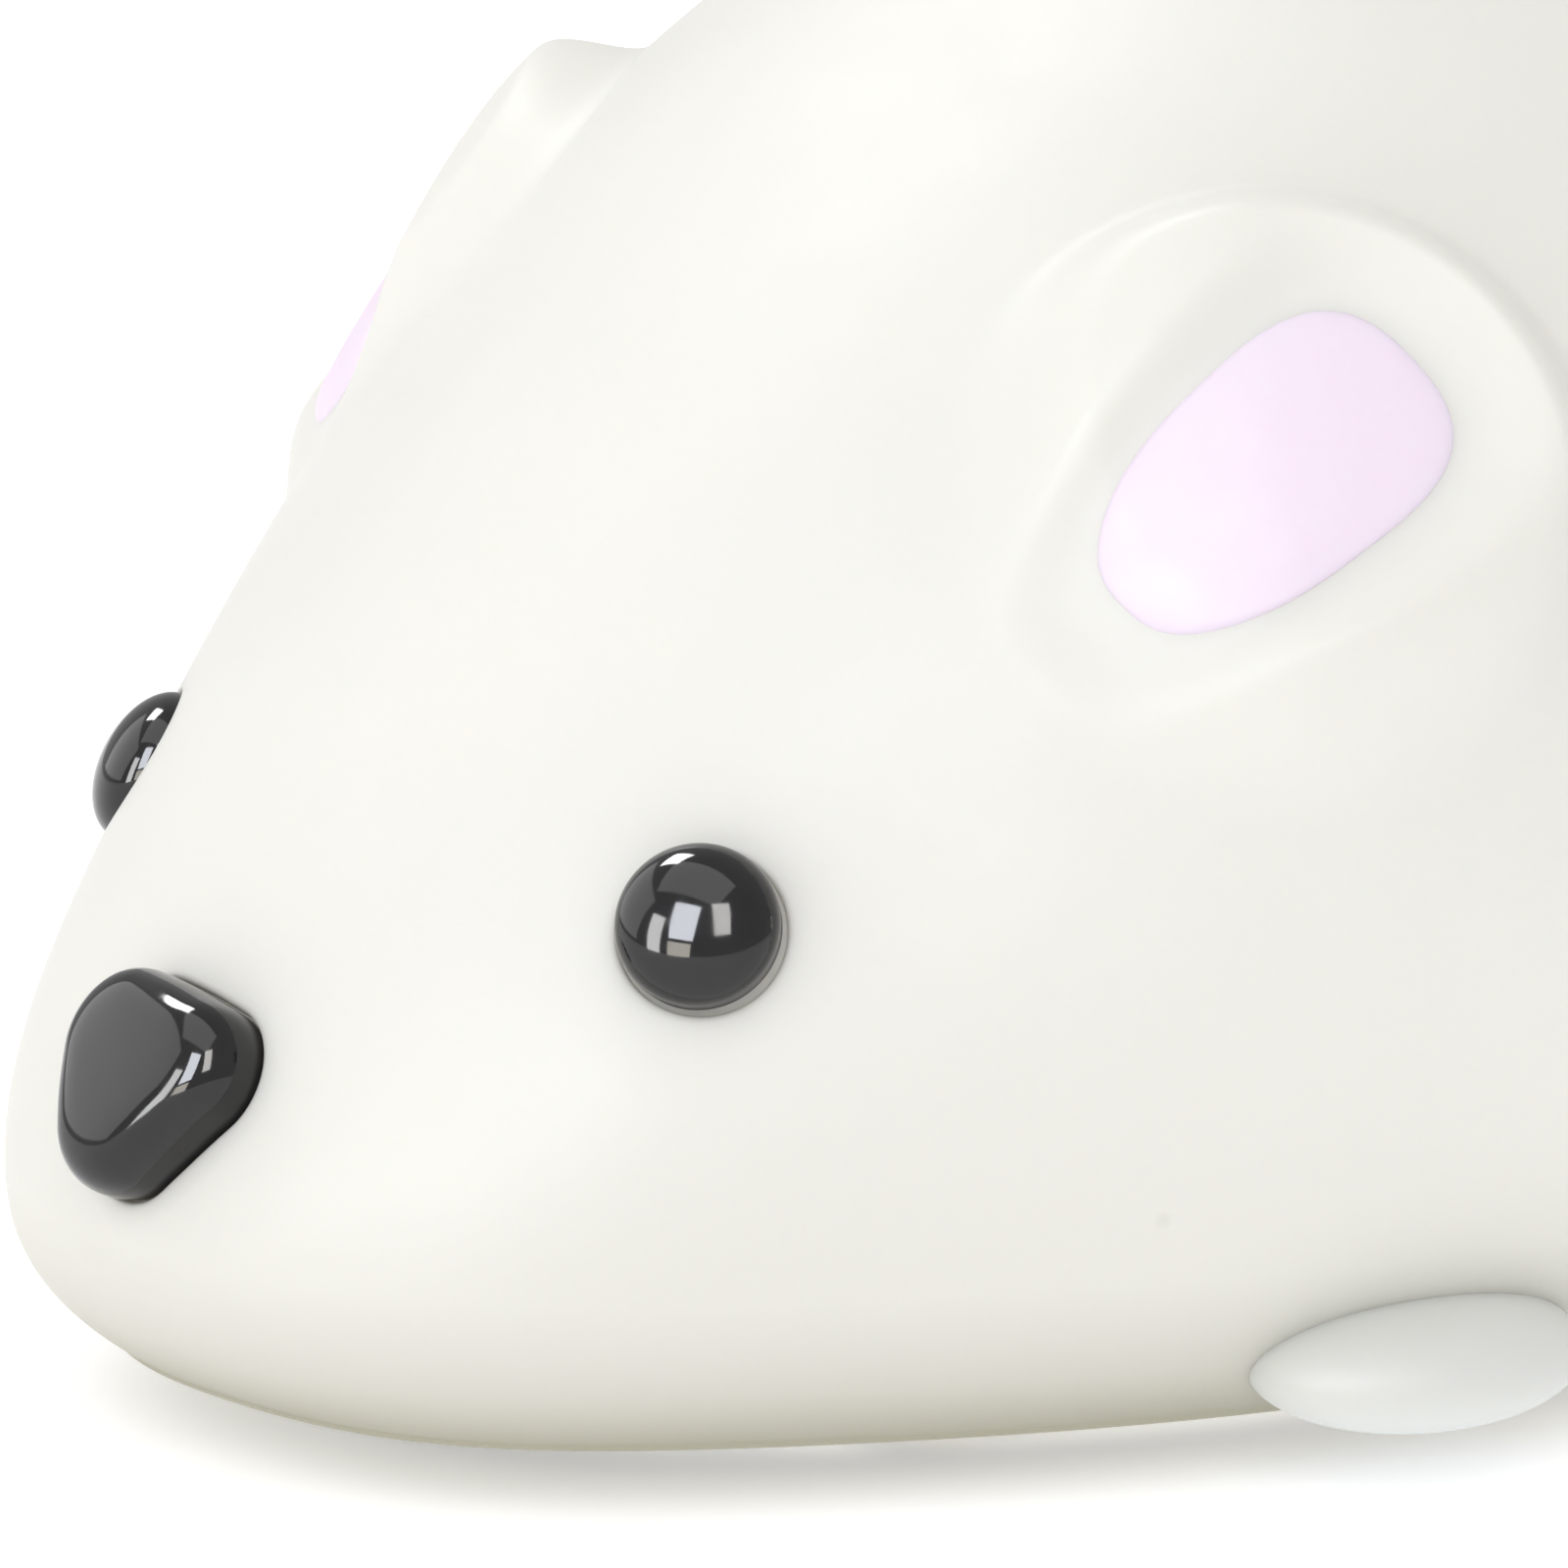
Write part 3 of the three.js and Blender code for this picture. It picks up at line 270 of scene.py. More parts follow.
def tidy_mesh(mesh):
    """Joins corners that coincide and turns the faces outwards."""
    bm = bmesh.new()
    bm.from_mesh(mesh)
    bmesh.ops.remove_doubles(bm, verts=bm.verts, dist=SAME_POINT)
    bmesh.ops.dissolve_degenerate(bm, dist=SAME_POINT, edges=bm.edges)
    bmesh.ops.recalc_face_normals(bm, faces=bm.faces)
    bm.to_mesh(mesh)
    bm.free()


def grid_faces(rows, columns, start=0, wrap=False):
    """Quads of a grid of points numbered row by row. wrap joins the last column to the first."""
    i, j = np.meshgrid(np.arange(rows - 1), np.arange(columns if wrap else columns - 1), indexing="ij")
    i, j = i.ravel(), j.ravel()
    k = (j + 1) % columns
    quads = np.stack([i * columns + j, i * columns + k, (i + 1) * columns + k, (i + 1) * columns + j], 1)
    return quads + start


def ring_object(name, rings, material, caps=True, smooth_angle=None):
    """A closed object from rings of points, the first and last filled by a fan."""
    rings = np.asarray(rings, float)
    count, spokes = rings.shape[:2]
    faces = grid_faces(count, spokes, wrap=True).tolist()
    points = rings.reshape(-1, 3)
    if caps:
        middles = [rings[0].mean(axis=0), rings[-1].mean(axis=0)]
        points = np.vstack([points, middles])
        for middle, base in ((count * spokes, 0), (count * spokes + 1, (count - 1) * spokes)):
            faces += [[middle, base + k, base + (k + 1) % spokes] for k in range(spokes)]
    return make_object(name, points, faces, material, smooth_angle=smooth_angle)


def round_corners(points, radius, steps=4, closed=True):
    """Polyline with each corner turned into a short curve."""
    points = np.asarray(points, float)
    count = len(points)
    rounded = []
    for i, corner in enumerate(points):
        if not closed and i in (0, count - 1):
            rounded.append(corner)
            continue
        before, after = points[i - 1], points[(i + 1) % count]
        to_before, to_after = before - corner, after - corner
        near = min(radius, np.linalg.norm(to_before) * 0.45, np.linalg.norm(to_after) * 0.45)
        start, end = corner + unit(to_before) * near, corner + unit(to_after) * near
        for t in np.linspace(0, 1, steps + 1):
            rounded.append((1 - t) ** 2 * start + 2 * t * (1 - t) * corner + t * t * end)
    return np.array(rounded)


def around(spokes):
    return np.linspace(0, 2 * PI, spokes, endpoint=False)


def circle(radius, spokes):
    return radius * np.cos(around(spokes)), radius * np.sin(around(spokes))


def turned(profile, origin, axis, segments):
    """Rings of a turned shape: profile pairs of [along the axis, radius]."""
    axis = unit(axis)
    helper = np.array([0, 0, 1.0]) if abs(axis[2]) < 0.9 else np.array([1.0, 0, 0])
    side = unit(np.cross(axis, helper))
    rise = np.cross(side, axis)
    across, upward = circle(1, segments)
    ring = across[:, None] * side + upward[:, None] * rise
    along, radius = np.asarray(profile, float).T
    return origin + along[:, None, None] * axis + radius[:, None, None] * ring


def turned_object(name, profile, origin, axis, material, segments, radius, closed=False):
    """A turned piece. A closed profile makes a ring with a bore, an open one starts and ends on the axis."""
    profile = round_corners(profile, radius, closed=closed)
    rings = turned(profile, np.asarray(origin, float), axis, segments)
    if closed:
        rings = np.concatenate([rings, rings[:1]])
    return ring_object(name, rings, material, caps=not closed, smooth_angle=50)


def mirrored(thing, name):
    """A copy of an object on the mouse's right side."""
    mesh = thing.data.copy()
    mesh.transform(Matrix.Scale(-1, 4, (1, 0, 0)))
    mesh.flip_normals()
    return in_scene(name, mesh)


def place(thing, body, slot, *nodes):
    """Rides on a body and stands for CAD nodes, which it hides. The slot is not used."""
    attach(thing, body)
    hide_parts(*nodes)


def place_pair(thing, twin_name, body, slot, node):
    """Places a left piece and its mirror image."""
    place(thing, body, slot, f"{node}_left")
    place(mirrored(thing, twin_name), body, slot, f"{node}_right")


# ---- materials


def srgb(red, green, blue):
    """Linear colour from display values of 0 to 255."""
    shares = [value / 255 for value in (red, green, blue)]
    linear = [s / 12.92 if s <= 0.04045 else ((s + 0.055) / 1.055) ** 2.4 for s in shares]
    return (*linear, 1.0)


def mixed(first, second, share):
    return tuple(a + (b - a) * share for a, b in zip(first, second))


class Finish:
    """A procedural material: mottled colour, uneven gloss and a fine surface grain."""

    def __init__(self, name, sockets):
        self.material = bpy.data.materials.new(name)
        self.material.use_nodes = True
        self.nodes = self.material.node_tree.nodes
        self.links = self.material.node_tree.links
        self.shader = self.nodes["Principled BSDF"]
        for socket, value in sockets.items():
            self.shader.inputs[socket].default_value = value
        self.where = self.nodes.new("ShaderNodeTexCoord").outputs["Object"]

    def scaled(self, scale):
        """Object coordinates in millimetres, times a scale for each axis."""
        mapping = self.nodes.new("ShaderNodeMapping")
        mapping.inputs["Scale"].default_value = [s / MM for s in scale]
        self.links.new(self.where, mapping.inputs["Vector"])
        return mapping.outputs["Vector"]

    def noise(self, size, detail=3.0, stretch=(1, 1, 1)):
        """Noise whose features are about size millimetres, longer along axes with a small stretch."""
        noise = self.nodes.new("ShaderNodeTexNoise")
        noise.inputs["Scale"].default_value = 1 / size
        noise.inputs["Detail"].default_value = detail
        self.links.new(self.scaled(stretch), noise.inputs["Vector"])
        return noise.outputs["Fac"]

    def ramp(self, factor, stops):
        """Colour ramp through (position, colour) stops."""
        ramp = self.nodes.new("ShaderNodeValToRGB")
        elements = ramp.color_ramp.elements
        while len(elements) < len(stops):
            elements.new(0.5)
        for element, (position, colour) in zip(elements, stops):
            element.position = position
            element.color = colour
        self.links.new(factor, ramp.inputs["Fac"])
        return ramp.outputs["Color"]

    def mix(self, factor, first, second):
        """Colour mix of two node outputs or colours."""
        mix = self.nodes.new("ShaderNodeMix")
        mix.data_type = "RGBA"
        self.links.new(factor, mix.inputs[0])
        for socket, value in ((mix.inputs[6], first), (mix.inputs[7], second)):
            if isinstance(value, tuple):
                socket.default_value = value
            else:
                self.links.new(value, socket)
        return mix.outputs[2]

    def spread(self, factor, low, high, source=(0.3, 0.7)):
        """A noise value stretched to run from low to high."""
        limits = self.nodes.new("ShaderNodeMapRange")
        for socket, value in zip(("From Min", "From Max", "To Min", "To Max"), (*source, low, high)):
            limits.inputs[socket].default_value = value
        self.links.new(factor, limits.inputs["Value"])
        return limits.outputs["Result"]

    def height(self):
        """Height over the base plate's underside, in metres."""
        parts = self.nodes.new("ShaderNodeSeparateXYZ")
        self.links.new(self.where, parts.inputs[0])
        return parts.outputs["Z"]

    def edges(self):
        """1 on outward edges and 0 elsewhere."""
        sharpness = self.nodes.new("ShaderNodeNewGeometry").outputs["Pointiness"]
        return self.spread(sharpness, 0, 1, (0.51, 0.56))

    def colour(self, output):
        self.links.new(output, self.shader.inputs["Base Color"])

    def roughness(self, output):
        self.links.new(output, self.shader.inputs["Roughness"])

    def bump(self, height, depth, after=None):
        """Adds relief that is depth millimetres deep."""
        bump = self.nodes.new("ShaderNodeBump")
        bump.inputs["Distance"].default_value = depth * MM
        self.links.new(height, bump.inputs["Height"])
        if after is not None:
            self.links.new(after, bump.inputs["Normal"])
        self.links.new(bump.outputs["Normal"], self.shader.inputs["Normal"])
        return bump.outputs["Normal"]


def plain_finish(name, dark, light, patch, rough, grain, depth, stretch=(1, 1, 1), worn=None, **sockets):
    """Mottling between two colours, uneven roughness, a grain and, if wanted, worn edges."""
    finish = Finish(name, {key.replace("_", " "): value for key, value in sockets.items()})
    colour = finish.ramp(finish.noise(patch), [(0.3, srgb(*dark)), (0.7, srgb(*light))])
    if worn is not None:
        colour = finish.mix(finish.edges(), colour, srgb(*worn))
    finish.colour(colour)
    finish.roughness(finish.spread(finish.noise(patch * 0.4, stretch=stretch), *rough))
    finish.bump(finish.noise(grain, detail=2.0, stretch=stretch), depth)
    return finish.material


def white_plastic(name, dark, light, low, shade_below):
    """Matt moulded plastic, a little see-through, with painted shade that makes it darker and warmer low
    down, and one faint gate mark.
    """
    dark, light, low = srgb(*dark), srgb(*light), srgb(*low)
    finish = Finish(name, {
        "Subsurface Weight": 0.25,
        "Subsurface Scale": 0.002,
        "Subsurface Radius": (1.0, 0.85, 0.6),
        "Specular IOR Level": 0.4,
    })
    body = finish.ramp(finish.noise(14), [(0.3, dark), (0.7, light)])
    # painted shade: from a given height down to the rim the colour turns darker and warmer
    above = finish.spread(finish.height(), 0, 1, (RIM * MM, shade_below * MM))
    shade_ramp = finish.ramp(above, [
        (0, low), (0.12, mixed(low, light, 0.46)), (0.3, mixed(low, light, 0.8)), (1, light)])
    colour = finish.mix(above, shade_ramp, body)
    gate = finish.nodes.new("ShaderNodeVectorMath")
    gate.operation = "DISTANCE"
    gate.inputs[1].default_value = [value * MM for value in GATE_MARK]
    finish.links.new(finish.where, gate.inputs[0])
    mark = finish.spread(gate.outputs["Value"], 0.5, 0, (0.1 * MM, 0.32 * MM))
    finish.colour(finish.mix(mark, colour, srgb(212, 211, 204)))
    finish.roughness(finish.spread(finish.noise(6), 0.5, 0.62))
    texture = finish.bump(finish.noise(0.22, detail=2.0), 0.004)
    finish.bump(mark, 0.04, after=texture)
    return finish.material


# the third colour and the height after it give the painted shade low down on the body
WHITE = white_plastic("white_plastic", (228, 227, 221), (231, 230, 224), (168, 165, 148), 19)
# the paws' copy of the white plastic, darker and cooler: painted shade on the paws, with its own ramp low
# down
PAW_SHADED_WHITE = white_plastic("paw_plastic_painted_shade", (213, 214, 210), (216, 217, 213), (214, 218, 218), 5)
PALE = plain_finish(
    "pale_plastic", (222, 220, 208), (232, 230, 220), 10, (0.5, 0.66), 0.35, 0.012)
BLACK = plain_finish(
    "black_gloss", (20, 20, 22), (27, 26, 28), 1.5, (0.05, 0.11), 0.8, 0.002)
PINK = plain_finish(
    "pink_plastic", (236, 220, 236), (238, 222, 237), 5, (0.45, 0.6), 0.3, 0.004,
    Subsurface_Weight=0.15, Subsurface_Scale=0.001)
TAIL_SKIN = plain_finish(
    "tail_rubber", (232, 190, 200), (243, 209, 217), 3, (0.5, 0.7), 0.25, 0.01,
    Subsurface_Weight=0.2, Subsurface_Scale=0.001)
STEEL = plain_finish(
    "steel", (150, 152, 156), (176, 178, 182), 3, (0.28, 0.5), 0.12, 0.004,
    stretch=(1, 1, 0.15), worn=(205, 207, 210), Metallic=1.0)
PLATED = plain_finish(
    "plated_steel", (196, 198, 202), (212, 213, 216), 4, (0.08, 0.2), 0.5, 0.003,
    worn=(226, 226, 228), Metallic=1.0)
BRASS = plain_finish(
    "brass", (176, 132, 58), (203, 162, 82), 3, (0.22, 0.42), 0.12, 0.004,
    stretch=(1, 0.15, 1), worn=(226, 196, 128), Metallic=1.0)
SPRING_STEEL = plain_finish(
    "spring_steel", (66, 78, 98), (98, 108, 124), 2, (0.2, 0.4), 0.15, 0.004,
    stretch=(0.15, 1, 1), worn=(150, 158, 170), Metallic=1.0)
NYLON = plain_finish(
    "nylon", (222, 214, 192), (236, 230, 212), 5, (0.4, 0.58), 0.4, 0.006,
    Subsurface_Weight=0.2, Subsurface_Scale=0.001)
TYRE = plain_finish(
    "tyre_rubber", (30, 30, 32), (44, 44, 45), 2, (0.62, 0.85), 0.2, 0.02,
    worn=(74, 73, 71))

# ---- body shell

ROWS = {"front": 30, "middle": 190, "rear": 30}
OUTER_COLUMNS = 200
INNER_COLUMNS = 80
RIM_ROUND = 0.22


def halved(function, low, high):
    """Where functions of arrays cross zero, rising from low to high."""
    low, high = np.broadcast_arrays(np.asarray(low, float), np.asarray(high, float))
    for _ in range(46):
        middle = (low + high) / 2
        below = function(middle) < 0
        low = np.where(below, middle, low)
        high = np.where(below, high, middle)
    return (low + high) / 2


def skin_at(u, phi, depth):
    """Points at a depth under the skin."""
    points = skin_point(u, phi)
    return points - depth * skin_normal(points)


def body_grid(depth, cut, columns):
    """Rows of points at a depth under the skin, from nose to rump, cut off level at the height cut."""
    below = lambda u: skin_at(u, -PI / 2, depth)[..., 2] - cut
    first = halved(lambda u: -below(u), 0.05, 1.2)
    last = halved(below, PI - 1.0, PI - 0.05)
    swing = (1 - np.cos(np.linspace(0, PI, ROWS["middle"] + 1))) / 2
    u = np.concatenate([
        np.linspace(0, first, ROWS["front"], endpoint=False),
        first + (last - first) * swing,
        np.linspace(last, PI, ROWS["rear"] + 1)[1:],
    ])
    open_below = (u > first) & (u < last)
    edge = halved(lambda phi: skin_at(u, phi, depth)[..., 2] - cut, np.full_like(u, -PI / 2), 0.0)
    start = np.where(open_below, edge, -PI / 2)
    t = np.linspace(0, 1, columns + 1)
    phi = start[:, None] + (PI - 2 * start)[:, None] * t
    return skin_at(u[:, None], phi, depth)


def merge_points(points, faces):
    """Joins points that coincide and drops faces without an area."""
    _, first, index = np.unique(np.round(points, 5), axis=0, return_index=True, return_inverse=True)
    faces = index.ravel()[np.asarray(faces)]
    kept = [list(dict.fromkeys(face)) for face in faces.tolist()]
    return points[first], [face for face in kept if len(face) > 2]


def inside_loop(points, loop):
    """Which flat points lie inside a closed loop."""
    x, y = points[:, None, 0], points[:, None, 1]
    x0, y0 = loop[:, 0], loop[:, 1]
    x1, y1 = np.roll(x0, -1), np.roll(y0, -1)
    crosses = (y0 > y) != (y1 > y)
    with np.errstate(divide="ignore", invalid="ignore"):
        at = x0 + (y - y0) * (x1 - x0) / (y1 - y0)
    return (crosses & (x < at)).sum(axis=1) % 2 == 1


def set_in(points, faces, local, rings, side=1, margin=0.35):
    """Puts rings of points, the last one the outermost, in place of what they cover in a mesh.

    local is the frame whose flat coordinates the join is worked out in. Side -1 puts the mirrored
    rings in the mouse's right side.
    """
    mirror = np.array([side, 1, 1])
    spokes = rings.shape[1]
    flat, height = local.flat(points * mirror)
    ring_flat, _ = local.flat(rings[-1])
    reach = np.hypot(*ring_flat.T).max() + margin
    covered = (np.hypot(*flat.T) < reach) & (np.abs(height) < 9)
    kept, border = [], {}
    for face in faces:
        if not covered[face].any():
            kept.append(face)
            continue
        for a, b in zip(face, face[1:] + face[:1]):
            if (b, a) in border:
                del border[(b, a)]
            else:
                border[(a, b)] = True
    follow = dict(border.keys())
    loop = [next(iter(follow))]
    while follow[loop[-1]] != loop[0]:
        loop.append(follow[loop[-1]])
    base = len(points)
    points = np.vstack([points, (rings * mirror).reshape(-1, 3)])
    kept += grid_faces(len(rings), spokes, start=base, wrap=True).tolist()
    outermost = [base + (len(rings) - 1) * spokes + k for k in range(spokes)]
    ids = loop + outermost
    shape = np.vstack([flat[loop], ring_flat])
    n = len(loop)
    edges = [(k, (k + 1) % n) for k in range(n)]
    edges += [(n + k, n + (k + 1) % spokes) for k in range(spokes)]
    made = geometry.delaunay_2d_cdt([Vector(p) for p in shape], edges, [], 0, 1e-9)
    sources = [origin[0] for origin in made[3]]
    faces_flat = np.array([[sources[v] for v in face] for face in made[2]])
    middles = shape[faces_flat].mean(axis=1)
    between = inside_loop(middles, shape[:n]) & ~inside_loop(middles, shape[n:])
    kept += [[ids[v] for v in face] for face in faces_flat[between]]
    return points, kept


def ear_rings():
    """The ear as rings from its middle out onto the head."""
    share = np.concatenate([np.linspace(0.01, 1.06, 96), [1.09, 1.13, 1.2]])[:, None]
    rise, side = circle(EAR["radius"] * share, 180)
    return ear_frame.lifted(rise, side, ear_height(rise, side))


def socket_rings(local, outline, depth, grow, shift=0):
    """A shallow socket with a soft lip for a piece whose middle is at side = shift.

    outline gives the (rise, side) points of a loop with a margin round the piece.
    """
    rings = []
    centre = np.array([0, shift])
    floor_edge = np.stack(outline(0.05), axis=-1)
    for share in (0.02, 0.35, 0.7, 1.0):
        rings.append((centre + (floor_edge - centre) * share, -depth))
    for margin, lift in ((0.06, -0.75 * depth), (0.08, -0.35 * depth), (0.12, -0.14 * depth),
                         (0.18, -0.04 * depth), (0.3, 0), (0.6, 0), (grow, 0)):
        rings.append((np.stack(outline(margin), axis=-1), lift))
    return np.array([local.lifted(flat[:, 0], flat[:, 1], lift) for flat, lift in rings])


def eye_outline(margin):
    return circle(EYE["radius"] + margin, 72)


def nose_outline(margin, spokes=96):
    """Triangle with round corners, flat side up and a little tilted, as points of rise and side."""
    radius = NOSE["round"] + margin
    slant = math.atan2(2 * NOSE["half_height"], NOSE["half_width"])
    corners = [
        (NOSE["half_height"], NOSE["half_width"], 0, PI - slant),
        (-NOSE["half_height"], 0, PI - slant, PI + slant),
        (NOSE["half_height"], -NOSE["half_width"], PI + slant, 2 * PI),
    ]
    path = []
    for rise, side, start, end in corners:
        for angle in np.linspace(start, end, 24):
            path.append((rise + radius * math.cos(angle), side + radius * math.sin(angle)))
    path = np.array(path + path[:1])
    length = np.concatenate([[0], np.cumsum(np.linalg.norm(np.diff(path, axis=0), axis=1))])
    even = np.linspace(0, length[-1], spokes, endpoint=False)
    rise, side = (np.interp(even, length, path[:, k]) for k in (0, 1))
    bulge = 1 + NOSE_BULGE * (1 + np.cos(3 * np.arctan2(side, rise))) / 2
    rise, side = rise * bulge, side * bulge
    turned_rise = rise * math.cos(NOSE_TILT) - side * math.sin(NOSE_TILT)
    turned_side = rise * math.sin(NOSE_TILT) + side * math.cos(NOSE_TILT)
    return turned_rise, turned_side + NOSE_SHIFT


def key_hole_rings(steps):
    """The round hole for the winding arbor, from pairs of radius and lift."""
    return np.array([key_frame.lifted(*circle(radius, 64), lift) for radius, lift in steps])


def body_shell():
    outer = body_grid(0, RIM + RIM_ROUND, OUTER_COLUMNS)
    inner = body_grid(WALL, RIM, INNER_COLUMNS)
    points, faces = merge_points(
        outer.reshape(-1, 3), grid_faces(outer.shape[0], outer.shape[1]))
    for side in (1, -1):
        points, faces = set_in(points, faces, ear_frame, ear_rings(), side)
    for side, local in ((1, left_eye_frame), (-1, right_eye_frame)):
        points, faces = set_in(points, faces, local, socket_rings(local, eye_outline, 0.25, 1.2), side)
    points, faces = set_in(
        points, faces, nose_frame, socket_rings(nose_frame, nose_outline, 0.4, 0.9, NOSE_SHIFT))
    hole_outside = key_hole_rings([
        (KEY_HOLE, -WALL / 2), (KEY_HOLE, -0.35), (KEY_HOLE + 0.05, -0.15), (KEY_HOLE + 0.15, -0.05),
        (KEY_HOLE + 0.35, 0), (KEY_HOLE + 1.6, 0)])
    points, faces = set_in(points, faces, key_frame, hole_outside)
    inner_points, inner_faces = merge_points(
        inner.reshape(-1, 3), grid_faces(inner.shape[0], inner.shape[1]))
    hole_inside = key_hole_rings([
        (KEY_HOLE, -WALL / 2), (KEY_HOLE, 0.1 - WALL), (KEY_HOLE + 0.1, -WALL), (KEY_HOLE + 0.6, -WALL),
        (KEY_HOLE + 1.4, -WALL)])
    inner_points, inner_faces = set_in(inner_points, inner_faces, key_frame, hole_inside, margin=0.5)
    faces += [[v + len(points) for v in face] for face in inner_faces]
    points = np.vstack([points, inner_points])
    first, last = ROWS["front"], ROWS["front"] + ROWS["middle"]
    for column, inner_column in ((0, 0), (OUTER_COLUMNS, INNER_COLUMNS)):
        edge = outer[first:last + 1, column]
        level = skin_normal(edge) * np.array([1, 1, 0])
        inward = -unit(level)
        rim = [edge]
        for turn in np.linspace(0, PI / 2, 5)[1:]:
            step = inward * RIM_ROUND * (1 - math.cos(turn))
            ring = edge + step
            ring[:, 2] = RIM + RIM_ROUND * (1 - math.sin(turn))
            rim.append(ring)
        rim.append(inner[first:last + 1, inner_column])
        strip = np.array(rim)
        faces += grid_faces(strip.shape[0], strip.shape[1], start=len(points)).tolist()
        points = np.vstack([points, strip.reshape(-1, 3)])
    return make_object("shell", points, faces, WHITE, smooth_angle=55)


# ---- pieces on the body


def eye_object(name, local):
    """A glossy dome with a straight seat and a peg."""
    angles = np.linspace(0, PI / 2, 30)
    rise = EYE["height"] + EYE["sunk"]
    profile = [(rise * math.cos(a) - EYE["sunk"], EYE["radius"] * math.sin(a)) for a in angles]
    profile[0] = (EYE["height"], 0.01)
    profile += [(-EYE["seat"], EYE["radius"] - 0.03), (-EYE["seat"], 0.9), (-2.6, 0.8)]
    rings = turned(profile, local.centre, local.normal, 96)
    return ring_object(name, rings, BLACK, smooth_angle=60)


def nose_object():
    """A pillow on the tip of the head that follows the skin under it."""
    centre = np.array([0, NOSE_SHIFT])
    edge = np.stack(nose_outline(0), axis=-1) - centre
    steps = []
    for angle in np.linspace(0, PI / 2, 41)[1:] ** 2 / (PI / 2):
        steps.append((math.sin(angle) ** (1 / 3), NOSE["height"] * math.cos(angle)))
    steps += [(1.0, -NOSE["seat"] / 2), (1.0, -NOSE["seat"]), (0.5, -NOSE["seat"])]
    rings = []
    for share, lift in steps:
        flat = centre + edge * share
        rings.append(nose_frame.lifted(flat[:, 0], flat[:, 1], lift))
    return ring_object("nose_bead", rings, BLACK, smooth_angle=60)


def lining_outline(spokes=120):
    """Egg outline of the ear lining, wider at its upper end, with rather straight sides."""
    angle = around(spokes)
    along = LINING["length"] / 2 * signed_power(np.cos(angle), LINING_POWER)
    across = signed_power(np.sin(angle), LINING_POWER) * (1 + LINING_TAPER * np.cos(angle))
    wide = LINING["width"] / 2 * across
    rise = LINING["rise"] + along * math.cos(LINING_TURN) - wide * math.sin(LINING_TURN)
    side = LINING["side"] + along * math.sin(LINING_TURN) + wide * math.cos(LINING_TURN)
    return rise, side


def lining_object():
    """The ear lining, a thin pad that stands a little proud of the ear with a round edge."""
    outline = np.stack(lining_outline(), axis=-1)
    middle = outline.mean(axis=0)
    steps = []
    for share in list(np.linspace(0.04, 0.94, 16)) + [0.965, 0.982, 0.993, 1.0]:
        edge = max(0, (share - 0.94) / 0.06)
        steps.append((share, LINING["proud"] * math.sqrt(max(0, 1 - edge * edge))))
    steps += [(1.0, -LINING["thickness"]), (0.5, -LINING["thickness"])]
    rings = []
    for share, lift in steps:
        rise, side = (middle + (outline - middle) * share).T
        rings.append(ear_frame.lifted(rise, side, ear_height(rise, side) + lift))
    return ring_object("ear_lining_pad_left", rings, PINK, smooth_angle=60)


def paw_object(name, x, y):
    """A smooth lobe, a little flatter underneath, half sunk in the body."""
    rings = []
    for tilt in np.linspace(-PI / 2, PI / 2, 40)[1:-1]:
        across, along = circle(math.cos(tilt) ** 0.92, 72)
        level = PAW["half_height"] * math.sin(tilt) * (1 if tilt > 0 else 0.96)
        rings.append(np.stack([
            x + PAW["half_width"] * across,
            y + PAW["half_length"] * along,
            np.full_like(across, PAW["z"] + level)], axis=-1))
    return ring_object(name, rings, PAW_SHADED_WHITE)


def centripetal_curve(knots, samples=60):
    """Points of a centripetal Catmull-Rom curve and their share of its length."""
    knots = np.asarray(knots, float)
    knots = np.vstack([2 * knots[0] - knots[1], knots, 2 * knots[-1] - knots[-2]])
    points = []
    for p0, p1, p2, p3 in zip(knots, knots[1:], knots[2:], knots[3:]):
        d0, d1, d2 = (math.sqrt(np.linalg.norm(b - a)) for a, b in ((p0, p1), (p1, p2), (p2, p3)))
        start = ((p1 - p0) / d0 - (p2 - p0) / (d0 + d1) + (p2 - p1) / d1) * d1
        end = ((p2 - p1) / d1 - (p3 - p1) / (d1 + d2) + (p3 - p2) / d2) * d1
        t = np.linspace(0, 1, samples, endpoint=False)[:, None]
        points.append(
            p1 + start * t + (3 * (p2 - p1) - 2 * start - end) * t**2
            + (2 * (p1 - p2) + start + end) * t**3)
    points = np.vstack(points + [knots[-2:-1]])
    length = np.concatenate([[0], np.cumsum(np.linalg.norm(np.diff(points, axis=0), axis=1))])
    return points, length / length[-1], length[-1]


